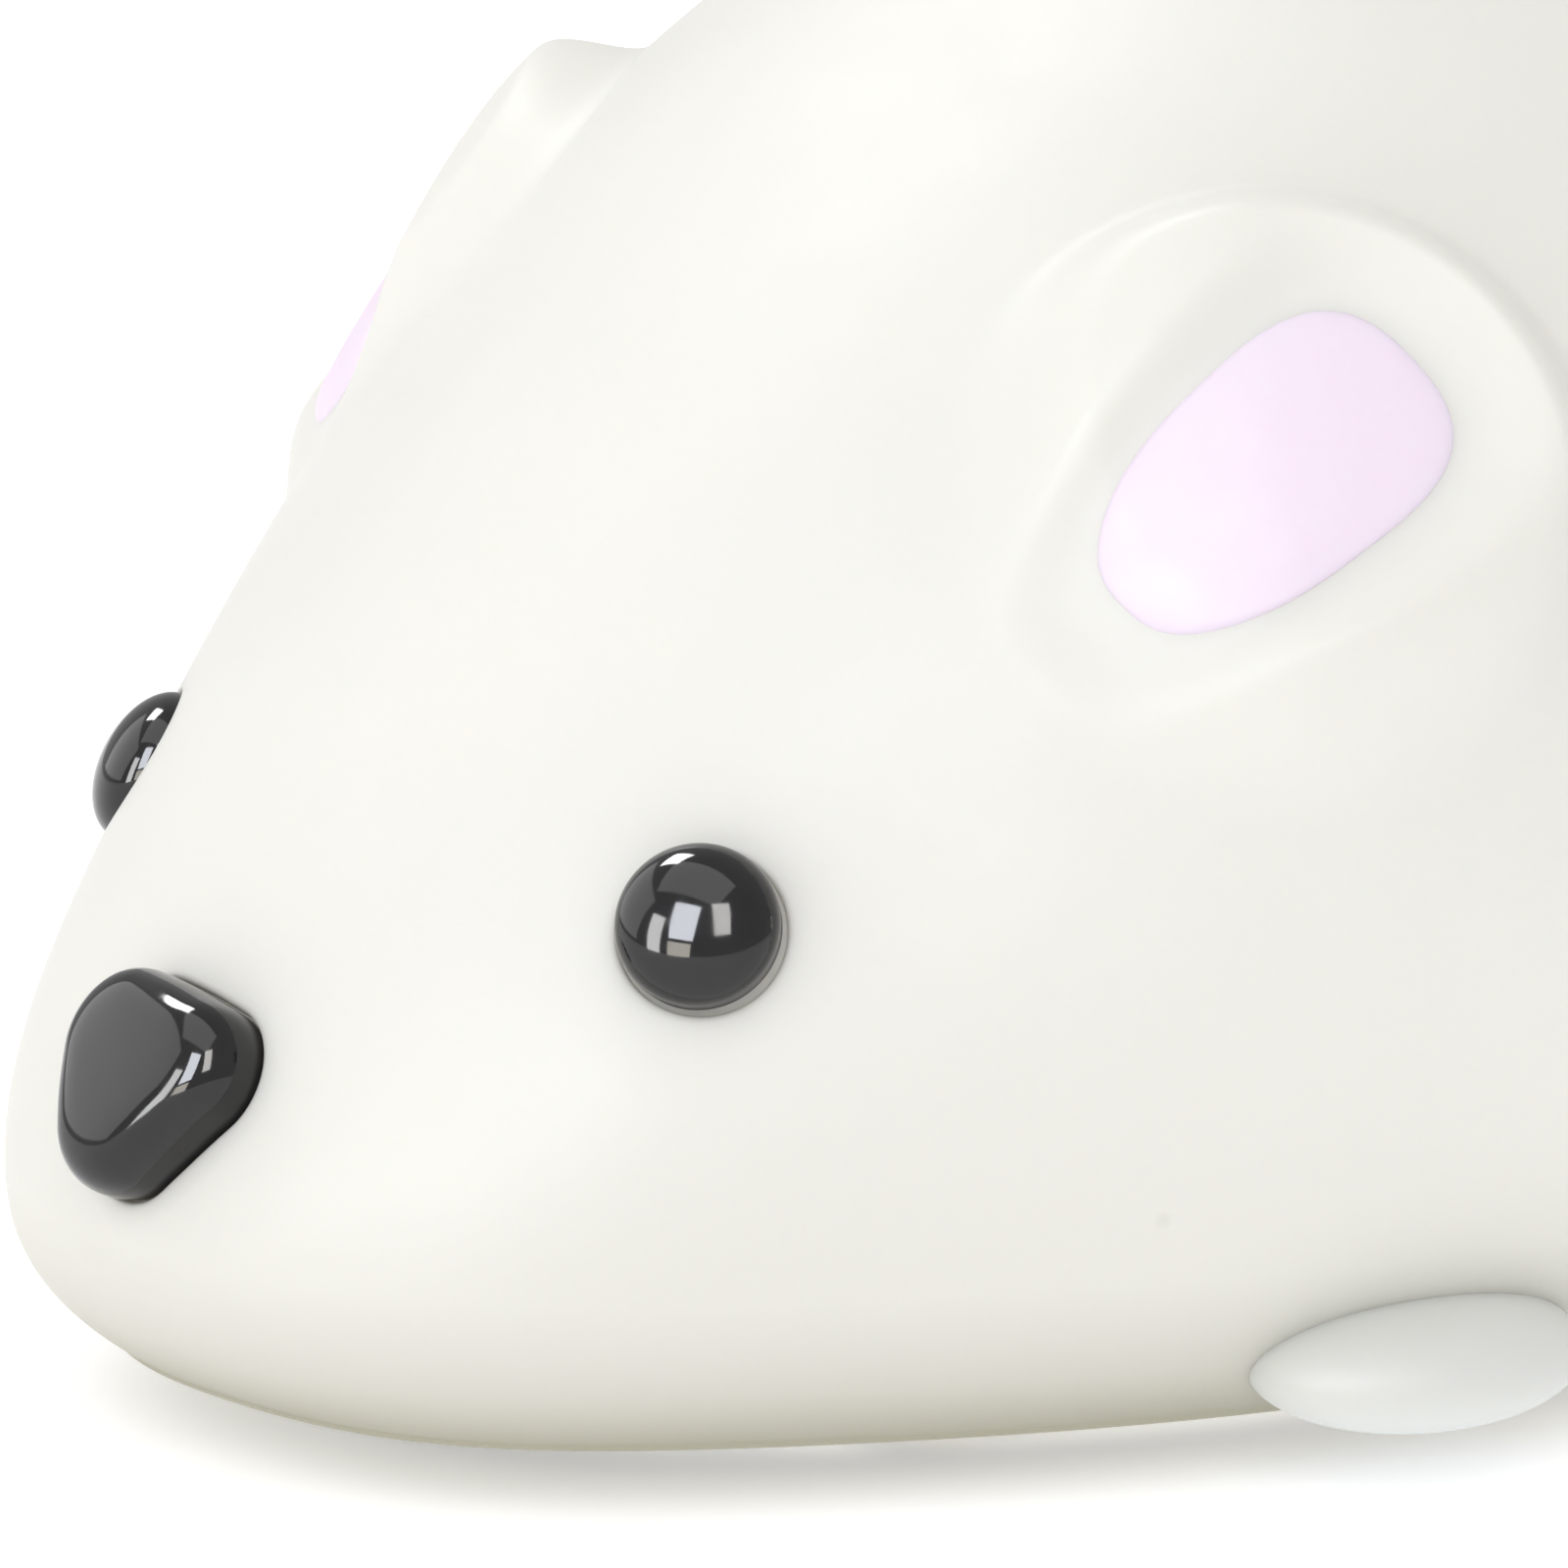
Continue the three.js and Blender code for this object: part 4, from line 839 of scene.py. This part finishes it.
def tail_object():
    """A tapering tail with fine rings moulded round it and a round tip."""
    knots = [(0, 41.4, 13), (0, 46.5, 13), (0, 52, 12), (3, 62, 8.5), (9, 73, 6), (10, 85, 8), (3, 95, 12.5)]
    path, share, length = centripetal_curve(knots)
    along = np.linspace(0, 1, 420)
    centre = np.stack([np.interp(along, share, path[:, k]) for k in range(3)], axis=-1)
    tangent = unit(np.gradient(centre, axis=0))
    plug = np.where(along < 0.02, TAIL["collar"], TAIL["neck"])
    run = (along - 0.075) / 0.925       # 0 where the tail leaves the body
    taper = TAIL["root"] + (TAIL["tip"] - TAIL["root"]) * run
    rings = 0.05 * (1 - np.cos(2 * PI * along * length / 1.1)) * smoothstep(run, 0.03, 0.12)
    shoulder = np.sqrt(np.clip(1 - (1 - np.clip(run / 0.012, 0, 1)) ** 2, 0, 1))
    tip = np.sqrt(np.clip(1 - np.clip((run - 0.985) / 0.0152, 0, 1) ** 2, 0.02, 1))
    ringed = taper - rings
    root = np.maximum(TAIL["neck"], ringed * (0.78 + 0.22 * shoulder))
    radius = np.select([run > 0.2, run >= 0], [ringed * tip, root], plug)
    side = unit(np.cross(tangent, (0, 0, 1)))
    rise = np.cross(side, tangent)
    across, upward = circle(1, 40)
    ring = across[:, None] * side[:, None] + upward[:, None] * rise[:, None]
    return ring_object("tail_tube", centre[:, None] + radius[:, None, None] * ring, TAIL_SKIN)


# ---- base plate and screws


def moved_in(loop, distance, hole):
    """A loop moved into the material: inwards, or outwards round a hole."""
    ahead = unit(np.roll(loop, -1, axis=0) - np.roll(loop, 1, axis=0))
    right = np.stack([ahead[:, 1], -ahead[:, 0]], axis=-1)
    x, y = loop.T
    anticlockwise = (x * np.roll(y, -1) - np.roll(x, -1) * y).sum() > 0
    return loop + distance * right * (1 if anticlockwise == hole else -1)


def flat_outline(name, loops, thick, bevel, material, steps=4):
    """A flat sheet with round edges, from an outline and its holes, in its own XY plane."""
    turns = np.linspace(0, PI / 2, steps + 1)
    under = [(bevel * (1 - math.sin(a)), -thick / 2 + bevel * (1 - math.cos(a))) for a in turns]
    profile = under + [(inset, -level) for inset, level in under[::-1]]
    points, faces, flat, edges, lower, upper = [], [], [], [], [], []
    base = 0
    for number, loop in enumerate(loops):
        loop = np.asarray(loop, float)
        count = len(loop)
        for inset, level in profile:
            ring = moved_in(loop, inset, number > 0)
            points.append(np.column_stack([ring, np.full(count, level)]))
        faces += grid_faces(len(profile), count, start=base, wrap=True).tolist()
        start = len(lower)
        edges += [(start + k, start + (k + 1) % count) for k in range(count)]
        lower += range(base, base + count)
        upper += range(base + (len(profile) - 1) * count, base + len(profile) * count)
        flat.append(moved_in(loop, bevel, number > 0))
        base += len(profile) * count
    made = geometry.delaunay_2d_cdt([Vector(p) for p in np.vstack(flat)], edges, [], 0, 1e-9)
    triangles = np.array([[made[3][v][0] for v in face] for face in made[2]])
    middles = np.vstack(flat)[triangles].mean(axis=1)
    solid = inside_loop(middles, flat[0])
    for hole in flat[1:]:
        solid &= ~inside_loop(middles, hole)
    for ids in (lower, upper):
        faces += [[ids[v] for v in face] for face in triangles[solid]]
    return make_object(name, np.vstack(points), faces, material, smooth_angle=40)


def circle_loop(x, y, radius, count=48):
    return np.array([x, y]) + np.stack(circle(radius, count), axis=-1)


def box_loop(x0, x1, y0, y1, radius):
    return round_corners([(x0, y0), (x1, y0), (x1, y1), (x0, y1)], radius, 6)


def join(parts):
    """One object from several, with the first one's name and material."""
    bm = bmesh.new()
    for part in parts:
        bm.from_mesh(part.data)
    mesh = parts[0].data
    bm.to_mesh(mesh)
    bm.free()
    for part in parts[1:]:
        bpy.data.objects.remove(part)
    return parts[0]


def plate_loop(gap, count=220):
    """Outline at the height of the plate that stays a distance inside the skin."""
    angle = around(count)
    direction = np.stack([np.sin(angle), -np.cos(angle)], axis=-1)

    def outside(reach):
        points = np.stack([reach * direction[:, 0], 1 + reach * direction[:, 1], np.full(count, 0.01)], -1)
        moved = points + gap * skin_normal(points)
        return skin_value(moved)

    reach = halved(outside, np.full(count, 8.0), np.full(count, 46.0))
    return np.stack([reach * direction[:, 0], 1 + reach * direction[:, 1]], axis=-1)


def base_plate():
    """The plate with its wheel slots, screw cups, axle lugs, motor bosses and ejector marks."""
    loops = [plate_loop(WALL + 0.3)] + [circle_loop(x, y, 2.2) for x, y in CASE_SCREWS]
    sheet = flat_outline("plate", loops, PLATE_THICK, 0.18, PALE)
    sheet.data.transform(Matrix.Translation((0, 0, PLATE_THICK / 2 * MM)))
    for side in (-1, 1):
        for x0, x1, y, half in ((9.5, 12.6, FRONT["y"], 5.3), (10.4, 16.6, DRIVE["y"], 9.0)):
            low, high = sorted((side * x0, side * x1))
            cut_slot(sheet, low, high, y - half, y + half, -1, 2)
    parts = [sheet]

    def add_turned(profile, x, y, segments, radius, closed=True):
        origin = (x, y, 0)
        parts.append(turned_object("turned", profile, origin, (0, 0, 1), PALE, segments, radius, closed))

    for x, y in CASE_SCREWS:
        add_turned([(0.5, 2.2), (1.6, 2.2), (1.6, 0.95), (2.6, 0.95), (2.6, 3.1), (0.5, 3.1)], x, y, 48, 0.1)
    for side in (-1, 1):
        for y in (-10.75, 29.6):
            add_turned([(0.6, 0.9), (4.4, 0.9), (4.4, 1.9), (0.6, 1.9)], side * 11, y, 32, 0.1)
        lug = flat_outline("lug", [
            box_loop(-2.2, 2.2, 0.6, 5.4, 0.5), circle_loop(0, FRONT["z"], 0.9, 32)], 1.6, 0.1, PALE)
        turn = Matrix(((0, 0, 1, side * 7.6 * MM), (1, 0, 0, FRONT["y"] * MM), (0, 1, 0, 0), (0, 0, 0, 1)))
        lug.data.transform(turn)
        parts.append(lug)
    for x, y in ((0, -29), (0, -8), (0, 8), (-14, -4), (14, -4), (-7, 24), (7, 24)):
        add_turned([(-0.045, 0.01), (-0.045, 1.35), (0.05, 1.5), (0.2, 1.5)], x, y, 48, 0.04, closed=False)
    return join(parts)


def cut_slot(thing, x0, x1, y0, y1, z0, z1):
    """Cuts a box out of an object."""
    corners = [(x * MM, y * MM, z * MM) for x in (x0, x1) for y in (y0, y1) for z in (z0, z1)]
    mesh = bpy.data.meshes.new("cutter")
    mesh.from_pydata(corners, [], [
        (0, 1, 3, 2), (4, 6, 7, 5), (0, 4, 5, 1), (2, 3, 7, 6), (0, 2, 6, 4), (1, 5, 7, 3)])
    cutter = in_scene("cutter", mesh)
    modifier = thing.modifiers.new("slot", "BOOLEAN")
    modifier.object = cutter
    modifier.operation = "DIFFERENCE"
    modifier.solver = "EXACT"
    cut = bpy.data.meshes.new_from_object(thing.evaluated_get(bpy.context.evaluated_depsgraph_get()))
    thing.modifiers.clear()
    thing.data = cut
    bpy.data.objects.remove(cutter)
    cut.set_sharp_from_angle(angle=math.radians(35))


def screw(name, x, y, slot_along):
    """A slotted pan-head screw that points up."""
    rim, thick, shank = SCREW["head"], SCREW["thick"], SCREW["shank"]
    profile = [
        (0, 0.01), (0, rim * 0.62), (0.12 * thick, rim * 0.86), (0.45 * thick, rim),
        (thick, rim), (thick, shank)]
    for turn in range(int((SCREW["length"] - thick - 0.6) / SCREW["pitch"])):
        base = thick + 0.25 + turn * SCREW["pitch"]
        profile += [(base, shank * 0.8), (base + 0.2, shank), (base + 0.25, shank)]
    end = SCREW["length"]
    profile += [(end - 0.3, shank * 0.7), (end, shank * 0.25), (end, 0.01)]
    seat = SCREW["seat"]
    rings = turned(profile, np.array([x, y, seat], float), (0, 0, 1), 48)
    thing = ring_object(name, rings, STEEL, smooth_angle=35)
    reach_x, reach_y = (rim * 1.2, SCREW["slot"]) if slot_along == "x" else (SCREW["slot"], rim * 1.2)
    cut_slot(thing, x - reach_x, x + reach_x, y - reach_y, y + reach_y, seat - 1, seat + thick / 2)
    return thing


# ---- wheels, axles and key


def tyre():
    """Rubber tyre with ribs across its tread."""
    ribs, per_rib = 40, 8
    segments = ribs * per_rib
    seat = DRIVE["rim"] + 0.05
    x0, x1 = DRIVE["inner"] + 0.5, DRIVE["outer"] - 0.5
    outer = DRIVE["radius"]
    section = round_corners([
        (x0, seat), (x0, outer - 0.5), (x0 + 0.5, outer), (x1 - 0.5, outer), (x1, outer - 0.5), (x1, seat)],
        0.25, 4)
    angle = around(segments)
    wave = smoothstep(np.cos(angle * ribs), -0.35, 0.35)
    rings = []
    for along, radius in list(section) + [section[0]]:
        tread = smoothstep(radius, outer - 0.55, outer - 0.1)
        reach = radius - 0.3 * tread * (1 - wave)
        rings.append(np.stack([
            np.full(segments, along),
            DRIVE["y"] + reach * np.cos(angle),
            DRIVE["z"] + reach * np.sin(angle)], axis=-1))
    return ring_object("tyre_left", rings, TYRE, caps=False, smooth_angle=40)


def drive_wheel():
    inner, outer, rim = DRIVE["inner"], DRIVE["outer"], DRIVE["rim"]
    profile = [
        (inner, 1.05), (inner, 2.2), (inner + 1.6, 2.4), (inner + 1.6, rim - 1), (inner + 0.3, rim - 0.8),
        (inner + 0.3, rim), (outer - 0.3, rim), (outer - 0.3, rim - 0.8), (inner + 2.8, rim - 1),
        (inner + 2.8, 2.4), (outer, 2.2), (outer, 1.05)]
    return turned_object(
        "wheel_left", profile, (0, DRIVE["y"], DRIVE["z"]), (1, 0, 0), NYLON, 96, 0.22, closed=True)


def front_wheel():
    radius = FRONT["radius"]
    profile = [
        (9.9, 0.8), (9.9, 1.7), (10.4, 1.9), (10.4, radius - 1), (10, radius - 0.6), (10.3, radius),
        (11.9, radius), (12.2, radius - 0.6), (12.0, radius - 1.1), (11.7, 2.1), (12.2, 1.8), (12.2, 0.8)]
    return turned_object(
        "front_roller_left", profile, (0, FRONT["y"], FRONT["z"]), (1, 0, 0), NYLON, 96, 0.2, closed=True)


def axle(name, half, wheel, radius):
    profile = [(-half, 0.01), (-half, radius), (half, radius), (half, 0.01)]
    return turned_object(name, profile, (0, wheel["y"], wheel["z"]), (1, 0, 0), STEEL, 48, 0.2)


def winding_key():
    """Butterfly key: a turned collar and two flat wings with round holes."""
    middle, reach, lobe = KEY_START + 8.2, 5.2, 4.2
    outline = [(KEY_START + 4.6, -1.8)]
    for centre, start, end in ((-reach, 0.86, 2.2), (reach, 1.8, 3.14)):
        for angle in np.linspace(start * PI, end * PI, 40):
            outline.append((middle + lobe * math.cos(angle), centre + lobe * math.sin(angle)))
    outline.append((KEY_START + 4.6, 1.8))
    holes = [circle_loop(middle + 0.2, side * (reach + 0.2), 2.1, 56) for side in (-1, 1)]
    wings = flat_outline("key", [np.array(outline), *holes], 1.4, 0.4, PLATED, 6)
    wings.data.transform(Matrix((
        (1, 0, 0, 0), (0, 0, -1, GREAT["y"] * MM), (0, 1, 0, GREAT["z"] * MM), (0, 0, 0, 1))))
    collar = [
        (KEY_START, 0.01), (KEY_START, 2.4), (KEY_START + 1.0, 2.4), (KEY_START + 1.25, 2.15),
        (KEY_START + 1.5, 2.4), (KEY_START + 4.4, 2.4), (KEY_START + 6.2, 1.2), (KEY_START + 6.2, 0.01)]
    stem = turned_object("stem", collar, (0, GREAT["y"], GREAT["z"]), (1, 0, 0), PLATED, 72, 0.2)
    return join([wings, stem])


# ---- building the mouse

place(body_shell(), "chassis", "white_plastic", "body_shell")
place(eye_object("eye_bead_left", left_eye_frame), "chassis", "black_gloss", "eye_left")
right_eye = mirrored(eye_object("eye_bead", right_eye_frame), "eye_bead_right")
bpy.data.objects.remove(bpy.data.objects["eye_bead"])
place(right_eye, "chassis", "black_gloss", "eye_right")
place(nose_object(), "chassis", "black_gloss", "nose")
place_pair(lining_object(), "ear_lining_pad_right", "chassis", "pink_plastic", "ear_lining")
for end, (paw_x, paw_y) in PAW_PLACES.items():
    paw = paw_object(f"{end}_paw_lobe_left", paw_x, paw_y)
    place_pair(paw, f"{end}_paw_lobe_right", "chassis", "white_plastic", f"{end}_paw")
place(tail_object(), "chassis", "tail_rubber", "tail")
place(base_plate(), "chassis", "pale_plastic", "base_plate")
for number, (screw_x, screw_y) in enumerate(CASE_SCREWS, 1):
    case_screw = screw(f"plate_screw_{number}", screw_x, screw_y, "x" if number == 2 else "y")
    place(case_screw, "chassis", "steel", f"case_screw_{number}")

place_pair(tyre(), "tyre_right", "drive", "tyre_rubber", "drive_tyre")
place_pair(drive_wheel(), "wheel_right", "drive", "nylon", "drive_wheel")
place(axle("rear_axle", 16.4, DRIVE, 1), "drive", "steel", "drive_axle")
place_pair(front_wheel(), "front_roller_right", "front", "nylon", "front_wheel")
place(axle("nose_axle", 12.6, FRONT, 0.75), "front", "steel", "front_axle")
place(winding_key(), "winding", "plated_steel", "winding_key")

INSIDE = {
    STEEL: ["motor_plate_left", "motor_plate_right", "click", "click_pin", "winding_arbor",
            "ratchet_wheel", "second_arbor"]
    + [f"motor_screw_{end}_{side}" for end in ("front", "rear") for side in ("left", "right")],
    BRASS: ["great_wheel", "second_pinion", "drive_pinion"] + [f"frame_post_{k}" for k in (1, 2, 3, 4)],
    SPRING_STEEL: ["mainspring", "click_spring"],
    NYLON: ["second_wheel"],
}
for finish_material, names in INSIDE.items():
    for node_name in names:
        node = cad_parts[node_name]
        node.data.materials.clear()
        node.data.materials.append(finish_material)
        soften = node.modifiers.new("soft_edges", "BEVEL")
        soften.width = 0.06 * MM
        soften.segments = 2
        soften.limit_method = "ANGLE"
        soften.angle_limit = math.radians(35)

# ---- floor, light and camera


def floor():
    size = 3.0
    mesh = bpy.data.meshes.new("floor")
    corners = [(-size, -size), (size, -size), (size, size), (-size, size)]
    mesh.from_pydata([(x, y, GROUND * MM) for x, y in corners], [], [(0, 1, 2, 3)])
    made = Finish("floor_paper", {"Roughness": 0.9, "Specular IOR Level": 0.1, "Emission Strength": 0.38})
    made.shader.inputs["Emission Color"].default_value = (1, 1, 1, 1)
    made.colour(made.ramp(made.noise(40), [(0.3, srgb(243, 243, 245)), (0.7, srgb(246, 246, 247))]))
    mesh.materials.append(made.material)
    in_scene("floor", mesh)


LIGHT_DISTANCE = 0.9
SOFT_BOXES = [                  # name, azimuth, elevation, width, height, radiance
    ("front_right", -35, 30, 0.9, 0.7, 0.68),
    ("front_left", 40, 40, 0.9, 0.7, 0.93),
    ("overhead", 160, 76, 0.9, 0.9, 0.77),
    ("right", -100, 40, 0.9, 0.7, 0.5),
]
CARDS = [                       # the same and a colour
    ("window_right", -5, 12, 0.23, 0.61, 12, (0.99, 0.99, 1.0)),
    ("window_middle", 22, 31, 0.36, 0.5, 15.5, (0.93, 0.97, 1.04)),
    ("window_left", 62, 35, 0.26, 0.46, 11, (1.0, 0.98, 0.95)),
    ("window_sill", 21, 3, 0.34, 0.3, 8, (1.0, 0.95, 0.84)),
    ("lamp", -90, 57, 0.27, 0.27, 22, (1, 1, 1)),
    ("ceiling", 14, 72, 1.0, 0.6, 1.4, (1, 1, 1)),
    ("wall", -56, 24, 1.0, 0.7, 1.4, (1, 1, 1)),
]


def soft_box(name, azimuth, elevation, width, height, radiance, colour=(1, 1, 1), card=False):
    """Rectangular light in a direction from the mouse, facing it. Azimuth 0 is in front of the nose.

    A card is only reflected by glossy surfaces; any other light is only seen by matt ones.
    """
    a, e = math.radians(azimuth), math.radians(elevation)
    away = Vector((math.sin(a) * math.cos(e), -math.cos(a) * math.cos(e), math.sin(e)))
    light = bpy.data.lights.new(name, "AREA")
    light.shape = "RECTANGLE"
    light.size, light.size_y = width, height
    light.energy = radiance * PI * width * height
    light.color = colour
    lamp = in_scene(name, light)
    lamp.location = Vector((0, -0.02, 0.02)) + away * LIGHT_DISTANCE
    lamp.visible_diffuse = not card
    lamp.visible_glossy = card
    lamp.rotation_euler = away.to_track_quat("Z", "Y").to_euler()


def lights():
    world = bpy.data.worlds.new("studio")
    bpy.context.scene.world = world
    world.use_nodes = True
    background = world.node_tree.nodes["Background"]
    background.inputs["Color"].default_value = (1.0, 1.0, 1.0, 1)
    background.inputs["Strength"].default_value = 0.58
    for box in SOFT_BOXES:
        soft_box(*box)
    for card in CARDS:
        soft_box(*card, card=True)


def camera():
    """The camera stands to the mouse's front left, a little above it, with a long lens."""
    azimuth, elevation, roll = math.radians(48.89), math.radians(12.19), math.radians(1.06)
    distance = 470.54
    away = np.array([
        math.sin(azimuth) * math.cos(elevation), -math.cos(azimuth) * math.cos(elevation),
        math.sin(elevation)])
    right = np.array([math.cos(azimuth), math.sin(azimuth), 0])
    up = np.cross(away, right)
    across = math.cos(roll) * right + math.sin(roll) * up
    upward = -math.sin(roll) * right + math.cos(roll) * up
    target = np.array([0, -20, 20.0])
    position = target + distance * away
    aim = target + 0.212 * across - 2.459 * upward
    back = unit(position - aim)
    across = unit(across - across.dot(back) * back)
    upward = np.cross(back, across)
    data = bpy.data.cameras.new("camera")
    data.lens = 338.9
    data.sensor_width = 36
    data.clip_start, data.clip_end = 0.05, 20
    thing = in_scene("camera", data)
    turn = Matrix([[across[k], upward[k], back[k]] for k in range(3)]).to_4x4()
    thing.matrix_world = Matrix.Translation(Vector(position * MM)) @ turn
    bpy.context.scene.camera = thing


floor()
lights()
camera()
bpy.context.scene.view_settings.view_transform = "Standard"
